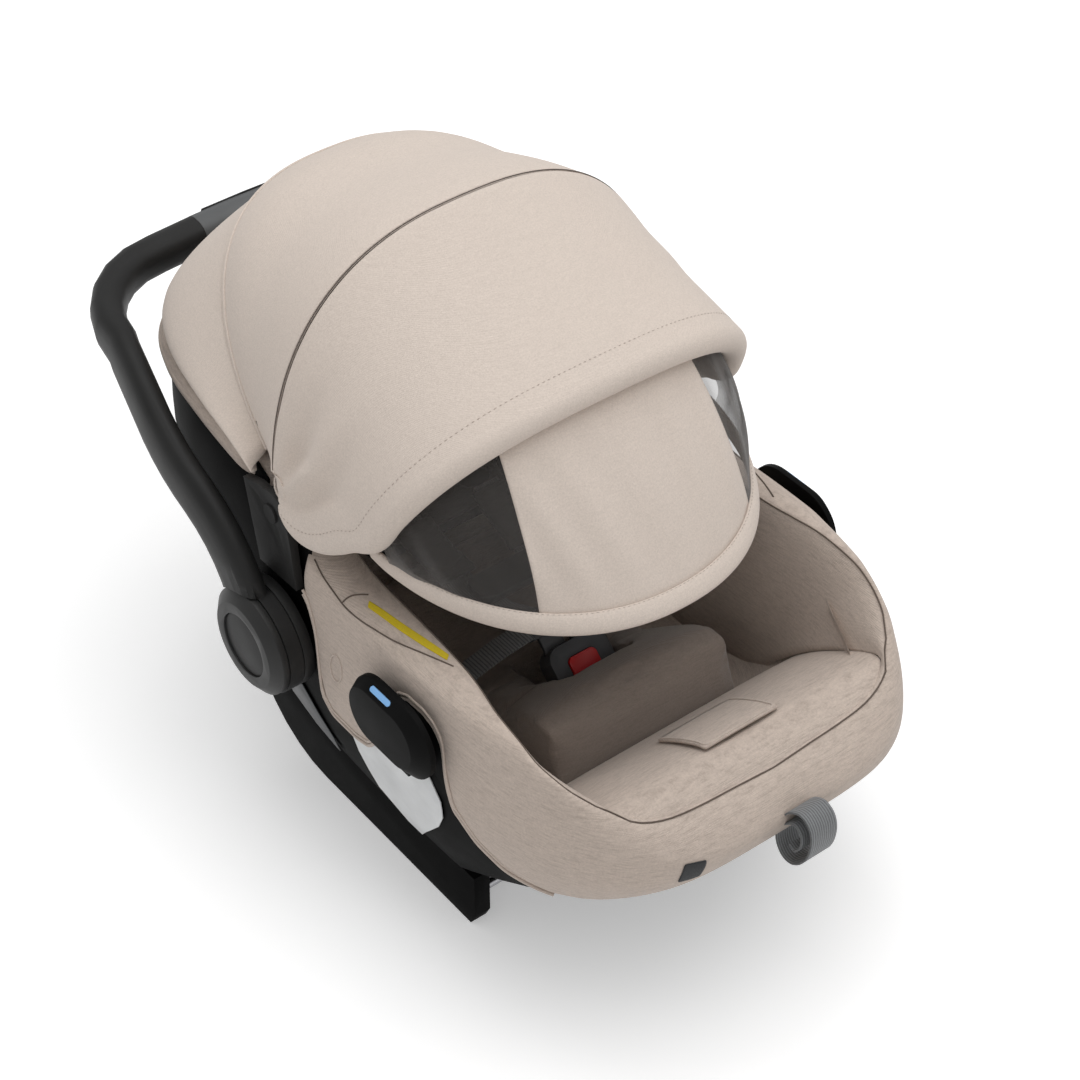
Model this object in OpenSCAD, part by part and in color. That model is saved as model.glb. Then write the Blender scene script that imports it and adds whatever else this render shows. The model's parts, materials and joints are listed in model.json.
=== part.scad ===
// Infant car seat: carrier shell with handle, folding canopy, harness and soft goods.
// Frame: millimetres, +Z up, foot end towards -Y, head end towards +Y,
// origin on the floor under the middle of the part. Left is -X.

/* [Shell] */
// Half width of the shell at its widest
shell_half_w = 186; // [176:1:196]
// Distance from the origin to the foot end of the shell
shell_foot = 314; // [304:1:324]
// Distance from the origin to the head end of the shell
shell_head = 322; // [312:1:332]
// Wall thickness of the shell
shell_wall = 3.2; // [2.6:0.2:4]
// Height of the shell's belly over the floor
belly_z = 22; // [18:1:28]
// How far the shell's rim leans inwards
rim_lean = 13; // [8:1:16]

/* [Rocker rails] */
// Outer face of the rails, from the middle
rail_x = 150; // [146:1:152]
// Thickness of each rail
rail_t = 15; // [12:1:18]
// Thickness of the rubber rest pads
pad_t = 3; // [2:0.5:4]
// Radius of the steel bars that dock on a base
bar_r = 4; // [3:0.5:5]

/* [Padding] */
// Thickness of the foam liner in the side walls
foam_t = 18; // [14:1:20]
// Thickness of the sewn lining
lining_t = 3; // [2:0.5:4]
// Gap between soft layers
soft_gap = 1.4; // [1:0.2:2]
// Thickness of the cover where it wraps the rim
cover_t = 5; // [4:0.5:7]

/* [Handle] */
// Height of the handle's axis
hub_z = 203; // [199:1:207]
// Place of the handle's axis along the seat
hub_y = 74; // [70:1:78]
// Radius of the handle's hub discs
hub_r = 47; // [44:1:50]
// Radius of the steel pivot pins
hub_pin_r = 6; // [5:0.5:7]
// Distance along the arms from the axis to the grip
handle_len = 362; // [358:1:365]
// Width of an arm, seen from the side
arm_w = 47; // [42:1:50]
// Thickness of an arm, seen from the front
arm_t = 24; // [20:1:26]
// Thickness of the grip
grip_d = 30; // [27:1:32]
// Half length of the grey grip sleeve
grip_half = 58; // [54:1:64]
// Travel of the handle's release buttons
button_travel = 5; // [3:0.5:6]

/* [Canopy] */
// Height of the canopy's axis
canopy_z = 318; // [314:1:322]
// Place of the canopy's axis along the seat
canopy_y = 75; // [71:1:79]
// Radius of the middle bow at the crown
canopy_r = 208; // [204:1:209]
// Thickness of the canopy's wire bows
bow_d = 6; // [5:0.5:7]
// Thickness of the canopy cloth with its lining
cloth_t = 2.4; // [2:0.2:3]
// Diameter of the padded roll along the front edge
roll_d = 22; // [20:1:23]
// Lean of the rear bow, behind upright
rear_angle = 42; // [40:1:44]
// Lean of the front edge's loop, ahead of upright
loop_angle = 29; // [27:1:31]
// Reach of the front edge's loop, from its foot to its crown
loop_r = 150; // [146:1:154]
// Reach of the drop-down visor from its pivots
visor_r = 180; // [174:1:184]

/* [Belt guides] */
// Length of each belt guide plate
guide_len = 96; // [90:1:100]
// Height of each belt guide plate
guide_h = 66; // [62:1:70]
// Thickness of each belt guide plate
guide_t = 13; // [11:1:14]

/* [Harness] */
// Width of the harness webbing
strap_w = 25; // [22:1:28]
// Thickness of the harness webbing
strap_t = 2; // [1.6:0.2:2.4]
// Half width of the buckle
buckle_half_w = 28; // [25:1:31]
// Travel of the red buckle button
red_travel = 4; // [3:0.5:5]

/* [Hidden] */
// Shift that puts the origin under the middle of the part
frame_y = -22;
// Squareness of the plan outline at the foot end and at the head end
foot_n = 3.8;
head_n = 4.9;
// Narrowing of the shell towards the head end, as a share
head_taper = 0.06;
// Squareness and draft of the shell's walls
wall_n = 4.5;
wall_draft = 0.06;
// Share of the depth above which the walls lean inwards
lean_from = 0.62;
// Places along the sides that the bowls are cut at, close together at the hem's steps
side_y = [
    -243, -219, -190, -169, -150, -134, -122, -108, -88, -76, -62, -50, -33, -12, 8, 17, 24,
    34, 48, 62, 76, 90, 110, 131, 155, 178, 213, 241
];
function turn_at(y) = y < 0 ? -asin(pow(-y / shell_foot, foot_n / 2))
    : asin(pow(y / shell_head, head_n / 2));
side_turns = [for (y = side_y) turn_at(y)];
// Directions round the plan outline: both sides, and evenly round the two ends
turns = concat(side_turns, [for (t = [37.5:7.5:142.5]) t],
    [for (i = [len(side_turns) - 1:-1:0]) 180 - side_turns[i]], [for (t = [225:7.5:315]) t]);
ring_n = len(turns);
// Height of the rim along the seat
rim_keys = [
    [-316, 205], [-285, 222], [-245, 249], [-200, 267], [-140, 275], [-50, 272],
    [10, 279], [50, 294], [90, 322], [130, 342], [200, 350], [330, 353]
];
// Height of the cover's lower edge along the seat
hem_keys = [
    [-330, 175], [-308, 162], [-285, 151], [-245, 145], [-169, 162], [-142, 184],
    [-134, 211], [-122, 246], [-111, 254], [-88, 254], [-76, 246], [-62, 200], [-50, 176],
    [-33, 161], [-20, 158], [8, 158], [17, 163], [21, 190], [24, 222], [34, 248], [50, 262],
    [62, 280], [90, 302], [130, 312], [200, 320], [330, 324]
];
// Height of the foam's upper face along the seat
foam_keys = [
    [-318, 168], [-262, 190], [-215, 172], [-165, 120], [-120, 88], [-60, 74],
    [-10, 80], [30, 104], [250, 252], [305, 292]
];
// Height of the foot pad's upper face along the seat
foot_pad_keys = [
    [-304, 200], [-290, 217], [-275, 224], [-264, 233], [-250, 231], [-225, 216], [-202, 199],
    [-190, 188], [-160, 155]
];
// Height of the insert's upper face along the seat
insert_keys = [
    [-158, 152], [-152, 186], [-138, 202], [-116, 200], [-95, 184], [-60, 152],
    [-20, 134], [20, 137], [60, 160], [150, 221]
];
// Foot, slope and start of the seat back
back_y = 30;
back_a = 34;
// Where the shell's belly starts to rise towards each end
foot_rise_y = -112;
head_rise_y = 60;
foot_rise = 0.62;
head_rise = 0.0039;

/* Shared shapes ------------------------------------------------------------------ */

function se(v, n) = sign(v) * pow(abs(v), 2 / n);
function smooth(v) = let (c = min(max(v, 0), 1)) c * c * (3 - 2 * c);
function rim(y) = lookup(y, rim_keys);
function hem(y) = lookup(y, hem_keys);
function belly(y) = y < foot_rise_y ? belly_z + foot_rise * (foot_rise_y - y)
    : y > head_rise_y ? belly_z + head_rise * pow(y - head_rise_y, 2) : belly_z;
function foam_top(y) = lookup(y, foam_keys);
function lining_top(y) = foam_top(y) + soft_gap + lining_t;

// A point of the plan outline, moved outwards by grow
function plan(t, grow = 0) = let (c = cos(t), s = sin(t), w = shell_half_w + grow)
    s < 0 ? [w * se(c, foot_n), (shell_foot + grow) * se(s, foot_n)]
          : [w * (1 - head_taper * s * s) * se(c, head_n), (shell_head + grow) * se(s, head_n)];

// Share of the full outline that the wall has at share v of its height
function wall_share(v) = pow(1 - pow(1 - v, wall_n), 1 / wall_n) * (1 - wall_draft * (1 - v));
// Share of the half width left by the wall's lean inwards
function lean_share(v) = 1 - rim_lean / shell_half_w * max(0, (v - lean_from) / (1 - lean_from));
// Half width of the plan outline at place y
function plan_x(y, grow = 0) = y < 0
    ? (shell_half_w + grow) * pow(1 - pow(min(1, -y / (shell_foot + grow)), foot_n), 1 / foot_n)
    : (shell_half_w + grow) * (1 - head_taper * pow(y / (shell_head + grow), head_n))
        * pow(1 - pow(min(1, y / (shell_head + grow)), head_n), 1 / head_n);

// Height share where a bowl's wall starts, outside the rings of its floor
floor_v = 0.03;
// A point of a bowl: direction t, height share v, floor by function base.
// A share below zero is a ring of the floor: -1 is its middle, 0 its edge.
function wall(t, v, grow, base, lift = 0, top = 0) =
    let (p = plan(t, grow), f = v < 0 ? 1 + v : 1, h = max(v, floor_v),
        q = p * wall_share(h) * f, zf = base(q[1]) + lift)
    [q[0] * lean_share(h), q[1], zf + (rim(p[1]) + top - zf) * h * f * f];

// Height share of the wall over a point at share r of the outline
function level_of(r) = 1 - pow(1 - pow(min(r, 1), wall_n), 1 / wall_n);
function level(r) = level_of(r / (1 - wall_draft * (1 - level_of(r))));
// Share of the outline that a point lies at
function share_of(x, y, grow) = let (n = y < 0 ? foot_n : head_n,
        l = (y < 0 ? shell_foot : shell_head) + grow, s = min(1, abs(y) / l),
        w = (shell_half_w + grow) * (y < 0 ? 1 : 1 - head_taper * pow(s, n)))
    max(0.01, pow(pow(abs(x) / w, n) + pow(s, n), 1 / n));
// Height of the sewn lining's upper face over any point of the floor
function lining_z(x, y) = let (g = -shell_wall - foam_t - 2 * soft_gap - lining_t,
        r = share_of(x, y, g), v = level(r), edge = wall_share(floor_v),
        f = v < floor_v ? r / edge : 1, zf = lining_top(y))
    zf + (rim(y / r) - 3 - zf) * max(v, floor_v) * f * f;

// Faces of a skin between rings that close on themselves
function ring_faces(base, n, m, flip = false) = [
    for (j = [0:m - 2], i = [0:n - 1])
        let (a = base + j * n + i, b = base + j * n + (i + 1) % n, c = b + n, d = a + n)
        each flip ? [[a, c, b], [a, d, c]] : [[a, b, c], [a, c, d]]
];

// A bowl with a wall: outer and inner faces from the same rule
module bowl(levels, grow_out, base_out, lift_out, top_out, grow_in, base_in, lift_in, top_in) {
    m = len(levels);
    outer = [for (v = levels, i = [0:ring_n - 1])
        wall(turns[i], v, grow_out, base_out, lift_out, top_out)];
    inner = [for (v = levels, i = [0:ring_n - 1])
        wall(turns[i], v, grow_in, base_in, lift_in, top_in)];
    k = ring_n * m;
    polyhedron(
        concat(outer, inner, [[0, 0, base_out(0) + lift_out], [0, 0, base_in(0) + lift_in]]),
        concat(
            ring_faces(0, ring_n, m, true),
            ring_faces(k, ring_n, m),
            [for (i = [0:ring_n - 1]) let (j = (i + 1) % ring_n) [2 * k, i, j]],
            [for (i = [0:ring_n - 1]) let (j = (i + 1) % ring_n) [2 * k + 1, k + j, k + i]],
            [for (i = [0:ring_n - 1])
                let (j = (i + 1) % ring_n, a = k - ring_n, b = 2 * k - ring_n)
                each [[a + i, b + j, a + j], [a + i, b + i, b + j]]]
        )
    );
}

// A closed ring of cross-sections, all with the same number of points
module ring_solid(sections) {
    n = len(sections);
    m = len(sections[0]);
    polyhedron(
        [for (s = sections, p = s) p],
        [for (i = [0:n - 1], j = [0:m - 1])
            let (a = i * m + j, b = i * m + (j + 1) % m,
                c = ((i + 1) % n) * m + (j + 1) % m, d = ((i + 1) % n) * m + j)
            each [[a, b, c], [a, c, d]]]
    );
}

// A rod of cross-sections with flat ends
module rod(sections) {
    n = len(sections);
    m = len(sections[0]);
    polyhedron(
        [for (s = sections, p = s) p],
        concat(
            ring_faces(0, m, n, true),
            [for (j = [1:m - 2]) [0, j, j + 1]],
            [for (j = [1:m - 2]) (n - 1) * m * [1, 1, 1] + [0, j + 1, j]]
        )
    );
}

// A sheet with thickness: rows of points for its upper and its lower face
module sheet(upper, lower) {
    n = len(upper);
    m = len(upper[0]);
    k = n * m;
    i = floor(n / 2);
    j = floor(m / 2);
    turn = cross(upper[i][j] - upper[i][j - 1], upper[i][j] - upper[i - 1][j])
        * (upper[i][j] - lower[i][j]) > 0;
    function quad(a, b, c, d) = turn ? [[a, c, b], [a, d, c]] : [[a, b, c], [a, c, d]];
    polyhedron(
        concat([for (r = upper, p = r) p], [for (r = lower, p = r) p]),
        concat(
            [for (i = [0:n - 2], j = [0:m - 2])
                let (a = i * m + j) each quad(a, a + 1, a + m + 1, a + m)],
            [for (i = [0:n - 2], j = [0:m - 2])
                let (a = k + i * m + j) each quad(a, a + m, a + m + 1, a + 1)],
            [for (j = [0:m - 2]) each quad(j + 1, j, k + j, k + j + 1)],
            [for (j = [0:m - 2])
                let (a = (n - 1) * m + j) each quad(a, a + 1, k + a + 1, k + a)],
            [for (i = [0:n - 2])
                let (a = i * m) each quad(a, a + m, k + a + m, k + a)],
            [for (i = [0:n - 2])
                let (a = i * m + m - 1) each quad(a + m, a, k + a, k + a + m)]
        )
    );
}

// A strap: centre points of its upper face, half width along one direction
module strap(route, half, thick, across = [1, 0, 0]) {
    n = len(route);
    function down(i) = let (t = route[min(i + 1, n - 1)] - route[max(i - 1, 0)],
        v = cross(across, t)) -v / norm(v);
    sheet(
        [for (p = route) [p + half * across, p - half * across]],
        [for (i = [0:n - 1]) [route[i] + half * across + thick * down(i),
            route[i] - half * across + thick * down(i)]]
    );
}

// Flat plate shape with round corners
module round_plate(w, h, r) {
    square([w, h - 2 * r], center = true);
    square([w - 2 * r, h], center = true);
    for (x = [-1, 1], y = [-1, 1])
        translate([x * (w / 2 - r), y * (h / 2 - r)]) circle(r, $fn = 48);
}

// A disc whose axis runs along X, from x0 to x1
module disc_x(x0, x1, r) {
    translate([x0, 0, 0]) rotate([0, 90, 0]) cylinder(h = x1 - x0, r = r, $fn = 96);
}

// Draws its child on the right side, or mirrored on the left
module side(s) {
    if (s > 0) children();
    else mirror([1, 0, 0]) children();
}

// Puts its child on the seat back, s up the slope and h out of it
module on_back(s, h = 0) {
    translate([0, back_y + s * cos(back_a), lining_top(back_y) + s * sin(back_a)])
        rotate([back_a, 0, 0])
            translate([0, 0, h]) children();
}

// A canopy bow's radius over its share u of the half turn, from side to side
function bow(u, r, w = canopy_half_w) = [w * se(cos(u), bow_n), r * se(sin(u), bow_n)];
bow_n = 2.5;
// Turns a flat bow point by angle a ahead of upright, about the canopy's axis
function lean(p, a) = [p[0], canopy_y - p[1] * sin(a), canopy_z + p[1] * cos(a)];

// A bent wire of diameter d along flat points, leaned by angle a about a pivot
module wire(points, d, a, py, pz, sides = 8) {
    n = len(points);
    rod([for (i = [0:n - 1])
        let (t = points[min(i + 1, n - 1)] - points[max(i - 1, 0)], tn = t / norm(t),
            nn = [-tn[1], tn[0]])
        [for (k = [0:sides - 1])
            let (q = points[i] + nn * d / 2 * cos(360 * k / sides),
                o = d / 2 * sin(360 * k / sides))
            [q[0], py - q[1] * sin(a) - o * cos(a), pz + q[1] * cos(a) - o * sin(a)]]]);
}

/* Shell ---------------------------------------------------------------------------- */

shell_levels = [-0.76, -0.52, -0.26, 0.03, 0.08, 0.17, 0.32, 0.45, lean_from, 1];
// Half width of the shell's wall at the height of the handle's axis
wall_v = (hub_z - belly(hub_y)) / (rim(hub_y) - belly(hub_y));
wall_x = shell_half_w * wall_share(wall_v) * lean_share(wall_v);

// One rocker rail, as its side view
module rail_outline() {
    polygon(concat(
        [[-124, 14], [-118, pad_t - 1]],
        [[84, pad_t - 1]],
        [for (a = [0:12:60]) [84 + 100 * sin(a), pad_t - 1 + 100 * (1 - cos(a))]],
        [[204, 108], [150, 76], [60, 58], [-124, 58]]
    ));
}

module seat_shell() color("#1c1c1d") {
    difference() {
        union() {
            bowl(shell_levels, 0, function(y) belly(y), 0, 0,
                -shell_wall, function(y) belly(y), shell_wall, 0);
            difference() {
                for (s = [-1, 1]) side(s)
                    translate([rail_x - rail_t, 0, 0]) rotate([90, 0, 90])
                        linear_extrude(rail_t) rail_outline();
                bowl_core(-shell_wall / 2, shell_wall / 2);
            }
        }
        for (s = [-1, 1]) side(s) {
            translate([0, hub_y, hub_z]) disc_x(wall_x - 30, wall_x + 30, boss_r);
            translate([shell_half_w - 30, guide_y - guide_web / 2, guide_web_z])
                cube([60, guide_web, guide_web_t]);
            for (p = mount_bolts) translate([0, p[0], p[1]])
                disc_x(shell_half_w - 40, shell_half_w + 20, mount_bolt_r);
            translate([hinge_in - 3, 50, 306]) cube([30, 50, 40]);
        }
        for (y = bar_y) translate([0, y, bar_z])
            disc_x(-rail_x + 3, rail_x - 3, bar_r);
    }
}

// The solid space inside a bowl, used to trim what meets its outside
module bowl_core(grow, lift) {
    m = len(shell_levels);
    polyhedron(
        concat([for (v = shell_levels, i = [0:ring_n - 1])
            wall(turns[i], v, grow, function(y) belly(y), lift)], [[0, 0, belly(0) + lift], [0, 0, 250]]),
        concat(ring_faces(0, ring_n, m, true),
            [for (i = [0:ring_n - 1]) let (j = (i + 1) % ring_n) [m * ring_n, i, j]],
            [for (i = [0:ring_n - 1]) let (j = (i + 1) % ring_n, a = (m - 1) * ring_n)
                [m * ring_n + 1, a + j, a + i]])
    );
}

// Rubber pads under the rails, which the seat rests on
pad_w = rail_t - 3;
module rest_pads() color("#2a2a2a") {
    for (s = [-1, 1]) side(s) for (y = [-100, -10, 70])
        translate([rail_x - rail_t / 2 - pad_w / 2, y - 11, 0])
            cube([pad_w, 22, pad_t - 1]);
}

// Steel bars between the rails, which a base or a frame latches on
bar_y = [-104, 96];
bar_z = 16;
module dock_bars() color("silver") {
    for (y = bar_y) translate([0, y, bar_z]) disc_x(-rail_x + 3, rail_x - 3, bar_r);
}

/* Padding -------------------------------------------------------------------------- */

foam_levels = [-0.76, -0.52, -0.26, 0.03, 0.08, 0.17, 0.32, lean_from, 0.97];
module foam_liner() color("#3a3a3c") {
    difference() {
        bowl(foam_levels, -shell_wall - soft_gap, function(y) belly(y), shell_wall + soft_gap, -2,
            -shell_wall - soft_gap - foam_t, foam_top_f, 0, -2);
        for (s = [-1, 1]) side(s) {
            translate([0, hub_y, hub_z]) disc_x(boss_in - 5, wall_x + 10, boss_r + 1);
            translate([guide_in - 1, guide_y - guide_web / 2 - 1, guide_web_z - 1])
                cube([30, guide_web + 2, guide_web_t + 2]);
            for (p = mount_bolts) translate([0, p[0], p[1]])
                disc_x(mount_in - 1, shell_half_w, mount_bolt_r + 1);
        }
    }
}
foam_top_f = function(y) foam_top(y);

module seat_lining() color("#b8a898") {
    g = -shell_wall - foam_t - 2 * soft_gap;
    bowl([-0.76, -0.52, -0.26, 0.03, 0.08, 0.17, 0.32, lean_from, 0.94], g, foam_top_f, soft_gap, -3,
        g - lining_t, foam_top_f, soft_gap + lining_t, -3);
}

// Where the cover's inner side starts, inwards of the shell's outline
cover_in = -shell_wall - foam_t - 3 * soft_gap - lining_t - 3;
// How deep the cover's inner side reaches below the rim, along the seat
tuck_keys = [[-330, 4], [-270, 6], [-200, 16], [230, 16], [290, 8], [330, 6]];

// Room at the rim for the canopy's brackets, axles and eyes
module mount_notch() {
    translate([mount_x - 1.5, 46, 246]) cube([30, 70, 94]);
    translate([hinge_in - 3, 50, 306]) cube([30, 50, 40]);
}

// The cover: over the rim, outside down to its piped hem and inside over the lining
module seat_cover() {
    base = function(y) belly(y);
    function at(t, v, g, dz = 0) = let (p = wall(t, v, g, base)) [p[0], p[1], p[2] + dz];
    function section(t) = let (
            y = plan(t)[1], zf = belly(y * 0.98), v0 = (hem(y) - zf) / (rim(y) - zf),
            v1 = max(lean_from, v0 + 0.02), vm = (v0 + v1) / 2, out = 1.2 + cover_t,
            tuck = lookup(y, tuck_keys) - 8)
        [
            at(t, v0, 1.4), at(t, v0, out), at(t, vm, out + 1), at(t, v1, out + 2),
            at(t, 1, out, -7), at(t, 1, out - 4, 3), at(t, 1, -6, 8), at(t, 1, -20, 7),
            at(t, 1, cover_in - 2, 1), at(t, 1, cover_in - 4, -8 - tuck),
            at(t, 1, cover_in, -8 - tuck), at(t, 1, cover_in, 1), at(t, 1, 1.4, 1), at(t, v1, 1.4),
            at(t, vm, 1.4)
        ];
    color("#cfc0b1") difference() {
        ring_solid([for (t = turns) section(t)]);
        for (s = [-1, 1]) side(s) {
            translate([0, hub_y, hub_z]) disc_x(150, 220, hub_r + 2);
            mount_notch();
        }
    }
}

// Gap between the lining and the pads laid in it
pad_gap = 4.4;

// A quilted block over part of the seat: height keys above, lining below
module quilt(y0, y1, half, top, crown, rows = 12, cols = 10) {
    function yy(i) = y0 + (y1 - y0) * i / rows;
    sheet(
        [for (i = [0:rows]) [for (j = [0:cols])
            let (y = yy(i), u = 1 - 2 * j / cols, x = half(y) * u)
            [x, y, max(top(y) - crown * pow(abs(u), 3), lining_z(x, y) + pad_gap + 1)]]],
        [for (i = [0:rows]) [for (j = [0:cols])
            let (y = yy(i), u = 1 - 2 * j / cols, x = half(y) * u)
            [x, y, lining_z(x, y) + pad_gap]]]
    );
}

module foot_pad() color("#cfc0b1") {
    difference() {
        quilt(-270, -160, function(y) min(132, 0.9 * plan_x(y, cover_in - 1) - 4),
            function(y) lookup(y, foot_pad_keys), 3);
        translate([0, adjuster_y, 150]) cube([40, 34, 200], center = true);
    }
}

module infant_insert() color("#8c7c6e") {
    difference() {
        quilt(-158, 96, function(y) 90 - 6 * (y + 158) / 308, function(y) lookup(y, insert_keys), 6, 14);
        at_buckle() translate([0, -6, -10]) cube([64, 78, 90], center = true);
        translate([0, -90, 120]) cube([36, 26, 100], center = true);
    }
}

/* Head end ------------------------------------------------------------------------- */

module back_slab(s0, s1, half, h0, h1, r) {
    on_back((s0 + s1) / 2, h0) linear_extrude(h1 - h0) round_plate(2 * half, s1 - s0, r);
}

module insert_crown() color("#8c7c6e") {
    difference() {
        back_slab(138, 232, 64, 34, 54, 30);
        back_slab(120, 202, 46, 32, 60, 30);
    }
}

module head_pillow() color("#a39384") back_slab(140, 200, 44, 34, 46, 24);

module side_bolsters() color("#8c7c6e") {
    for (s = [-1, 1]) side(s) on_back(68, 16) translate([103, 0, 0])
        linear_extrude(34) round_plate(19, 96, 9);
}

// The headrest: a back plate with two wings, sliding along the seat back
module headrest_shell() color("#2b2b2d") {
    back_slab(104, 234, 80, 18, 22, 24);
    for (s = [-1, 1]) side(s) on_back(180, 21.9) translate([74, -44, 0])
        cube([6, 84, 50]);
}

module headrest_pad() color("#57534f") {
    difference() {
        back_slab(106, 232, 66, 22.4, 33, 20);
        for (s = [-1, 1]) side(s) on_back(130, 8) translate([40, 0, 10])
            cube([strap_w + 4, 12, 60], center = true);
    }
    for (s = [-1, 1]) side(s) on_back(180, 23) translate([67.6, -42, 0])
        cube([6, 80, 46]);
}

/* Harness -------------------------------------------------------------------------- */

// The buckle's own frame: its face looks up and towards the foot end
buckle_y = -66;
buckle_z = 158;
module at_buckle() translate([0, buckle_y, buckle_z]) rotate([42, 0, 0]) children();
buckle_d = 20;

module buckle_body() color("#3c3c3e") {
    at_buckle() difference() {
        union() {
            translate([0, 0, -buckle_d / 2]) linear_extrude(buckle_d) {
                round_plate(2 * buckle_half_w, 42, 12);
                translate([0, -18]) round_plate(2 * buckle_half_w - 16, 34, 9);
            }
        }
        translate([0, -4, buckle_d / 2 - 7]) linear_extrude(20)
            round_plate(red_w + 0.8, red_h + 0.8, 5.4);
        for (s = [-1, 1]) side(s) translate([tongue_x, 14, 0])
            cube([tongue_w + 0.8, 24, tongue_t + 0.8], center = true);
        translate([0, -30, 0]) cube([strap_w + 1, 14, strap_t + 1], center = true);
    }
}
red_w = 27;
red_h = 25;
tongue_w = 20;
tongue_t = 4;
tongue_x = 13;

module buckle_button() color("#c41414") {
    at_buckle() translate([0, -4, buckle_d / 2 - 7 + red_travel + 0.4])
        linear_extrude(7 - red_travel + 1) round_plate(red_w, red_h, 5);
}

// Two tongues with a bar for the shoulder and hip straps
module buckle_tongues() color("#4a4a4c") {
    at_buckle() for (s = [-1, 1]) side(s) difference() {
        translate([tongue_x, 21, 0]) union() {
            cube([tongue_w, 37.2, tongue_t], center = true);
            translate([2, 20, 0]) cube([tongue_w + 8, 16, 8], center = true);
        }
        translate([tongue_x + 2, 41, 0]) cube([strap_w - 2, 5, 20], center = true);
    }
}

module crotch_strap() color("#6c6c6e") {
    strap([[0, -93, lining_z(0, -93) + 1], [0, -93, 110], [0, -92.5, 130]], strap_w / 2, strap_t);
}

// Shoulder straps: from the tongues over the insert to the headrest's slots
module shoulder_straps() color("#77777a") {
    for (s = [-1, 1]) side(s)
        strap([[22, -24, 193], [28, 0, 186], [34, 40, 186], [38, 80, 196], [40, 110, 210]],
            strap_w / 2, strap_t);
}

module hip_straps() color("#77777a") {
    for (s = [-1, 1]) side(s)
        strap([[30, -37, 189], [50, -30, 178], [70, -20, 160], [90, -12, 142], [100, -8, 128]],
            strap_w / 2 - 2, strap_t, [0, 1, 0]);
}

module shoulder_pads() color("#57534f") {
    for (s = [-1, 1]) side(s) {
        strap([[34.5, 44, 193], [38, 80, 202], [39.6, 104, 213]], 19, 5);
    }
}

module chest_clip() color("#2e2e30") {
    translate([0, 22, 187]) linear_extrude(8) round_plate(74, 30, 8);
}

/* Strap adjuster ------------------------------------------------------------------- */

adjuster_y = -237;
adjuster_z = lining_z(0, adjuster_y - 16) + 1.5;
module adjuster_housing() color("#3c3c3e") {
    translate([0, adjuster_y, 0]) difference() {
        translate([0, 0, adjuster_z]) linear_extrude(14) round_plate(38, 32, 6);
        translate([0, 1, adjuster_z + 4]) linear_extrude(20)
            round_plate(26.8, 20.8, 3.4);
    }
}

module adjuster_button() color("#4a4a4c") {
    translate([0, adjuster_y + 1, adjuster_z + 4 + adjuster_travel + 0.3])
        linear_extrude(6) round_plate(26, 20, 3);
}
adjuster_travel = 4;

// Sewn flap over the adjuster: hinged along its seam towards the head, open at the foot side
flap_route = [[-254, 236], [-240, 230], [-222, 218], [-202, 203]];
module adjuster_flap() color("#cfc0b1") {
    sheet(
        [for (p = flap_route)
            [for (x = [35, 12, -12, -35]) [x, p[0], p[1] - abs(x) / 60]]],
        [for (p = flap_route)
            [for (x = [35, 12, -12, -35]) [x, p[0], p[1] - abs(x) / 60 - cloth_t]]]
    );
}

// Loop of webbing that tightens the harness, hanging out at the foot end
module adjuster_strap() color("#77777a") {
    strap([[0, -322.5, 201], [0, -328, 214], [0, -338, 218], [0, -347, 209], [0, -350, 190],
        [0, -349, 168], [0, -341, 152], [0, -330, 148], [0, -321.5, 157], [0, -320.5, 171]],
        strap_w / 2, strap_t);
}

/* Lap belt guides ------------------------------------------------------------------ */

guide_y = -94;
guide_z = 232;
guide_web = 34;
guide_web_t = 12;
guide_web_z = 193;
guide_in = shell_half_w - 6;
guide_x = shell_half_w + 8;
marker_l = 24;
marker_h = 5;
// Flat outer face of a guide, smaller than its body all round
guide_bevel = 9;
module guide_face(inset, x0, x1, dy = 0) {
    translate([x0, guide_y + dy, guide_z]) rotate([90, 0, 90]) linear_extrude(x1 - x0)
        round_plate(guide_len - 2 * inset, guide_h - 2 * inset, guide_h / 2 - inset - 0.5);
}
module belt_guide() color("#1a1a1b") {
    difference() {
        union() {
            hull() {
                guide_face(0, guide_x, guide_x + 5);
                guide_face(guide_bevel, guide_x + guide_t - 1, guide_x + guide_t, 5);
            }
            translate([guide_in, guide_y - guide_web / 2, guide_web_z])
                cube([guide_x + 4 - guide_in, guide_web, guide_web_t]);
        }
        marker_pocket(marker_l + 0.4, marker_h + 0.4, 4);
    }
}
// Room for the marker near the upper edge of a guide
module marker_pocket(l, h, t) {
    translate([guide_x + guide_t - 6, guide_y + 8, guide_z + guide_h / 2 - 7]) rotate([0, -50, 0])
        rotate([90, 0, 90]) linear_extrude(t) round_plate(l, h, h / 2 - 0.1);
}
module belt_guide_left() side(-1) belt_guide();
module belt_guide_right() side(1) belt_guide();
module guide_markers() color("#8fb4dd") {
    for (s = [-1, 1]) side(s) marker_pocket(marker_l, marker_h, 3);
}

/* Handle --------------------------------------------------------------------------- */

boss_r = 24;
boss_in = wall_x - 5;
base_out = shell_half_w + 10;
disc_in = base_out + 0.6;
disc_out = base_out + 13;
cap_out = disc_out + 13;
// Middle of each arm at the hub
arm_x = base_out + 11;
gear_r = 18;
pin_run = 0.05;

module hub_base() color("#1a1a1b") {
    translate([0, hub_y, hub_z]) difference() {
        union() {
            disc_x(wall_x + 5.5, base_out, hub_r);
            disc_x(boss_in, wall_x + 6, boss_r);
        }
        disc_x(boss_in - 1, base_out + 1, hub_pin_r);
        disc_x(base_out - gear_pocket, base_out + 1, gear_r + 2);
    }
}
module hub_base_left() side(-1) hub_base();
module hub_base_right() side(1) hub_base();

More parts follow.
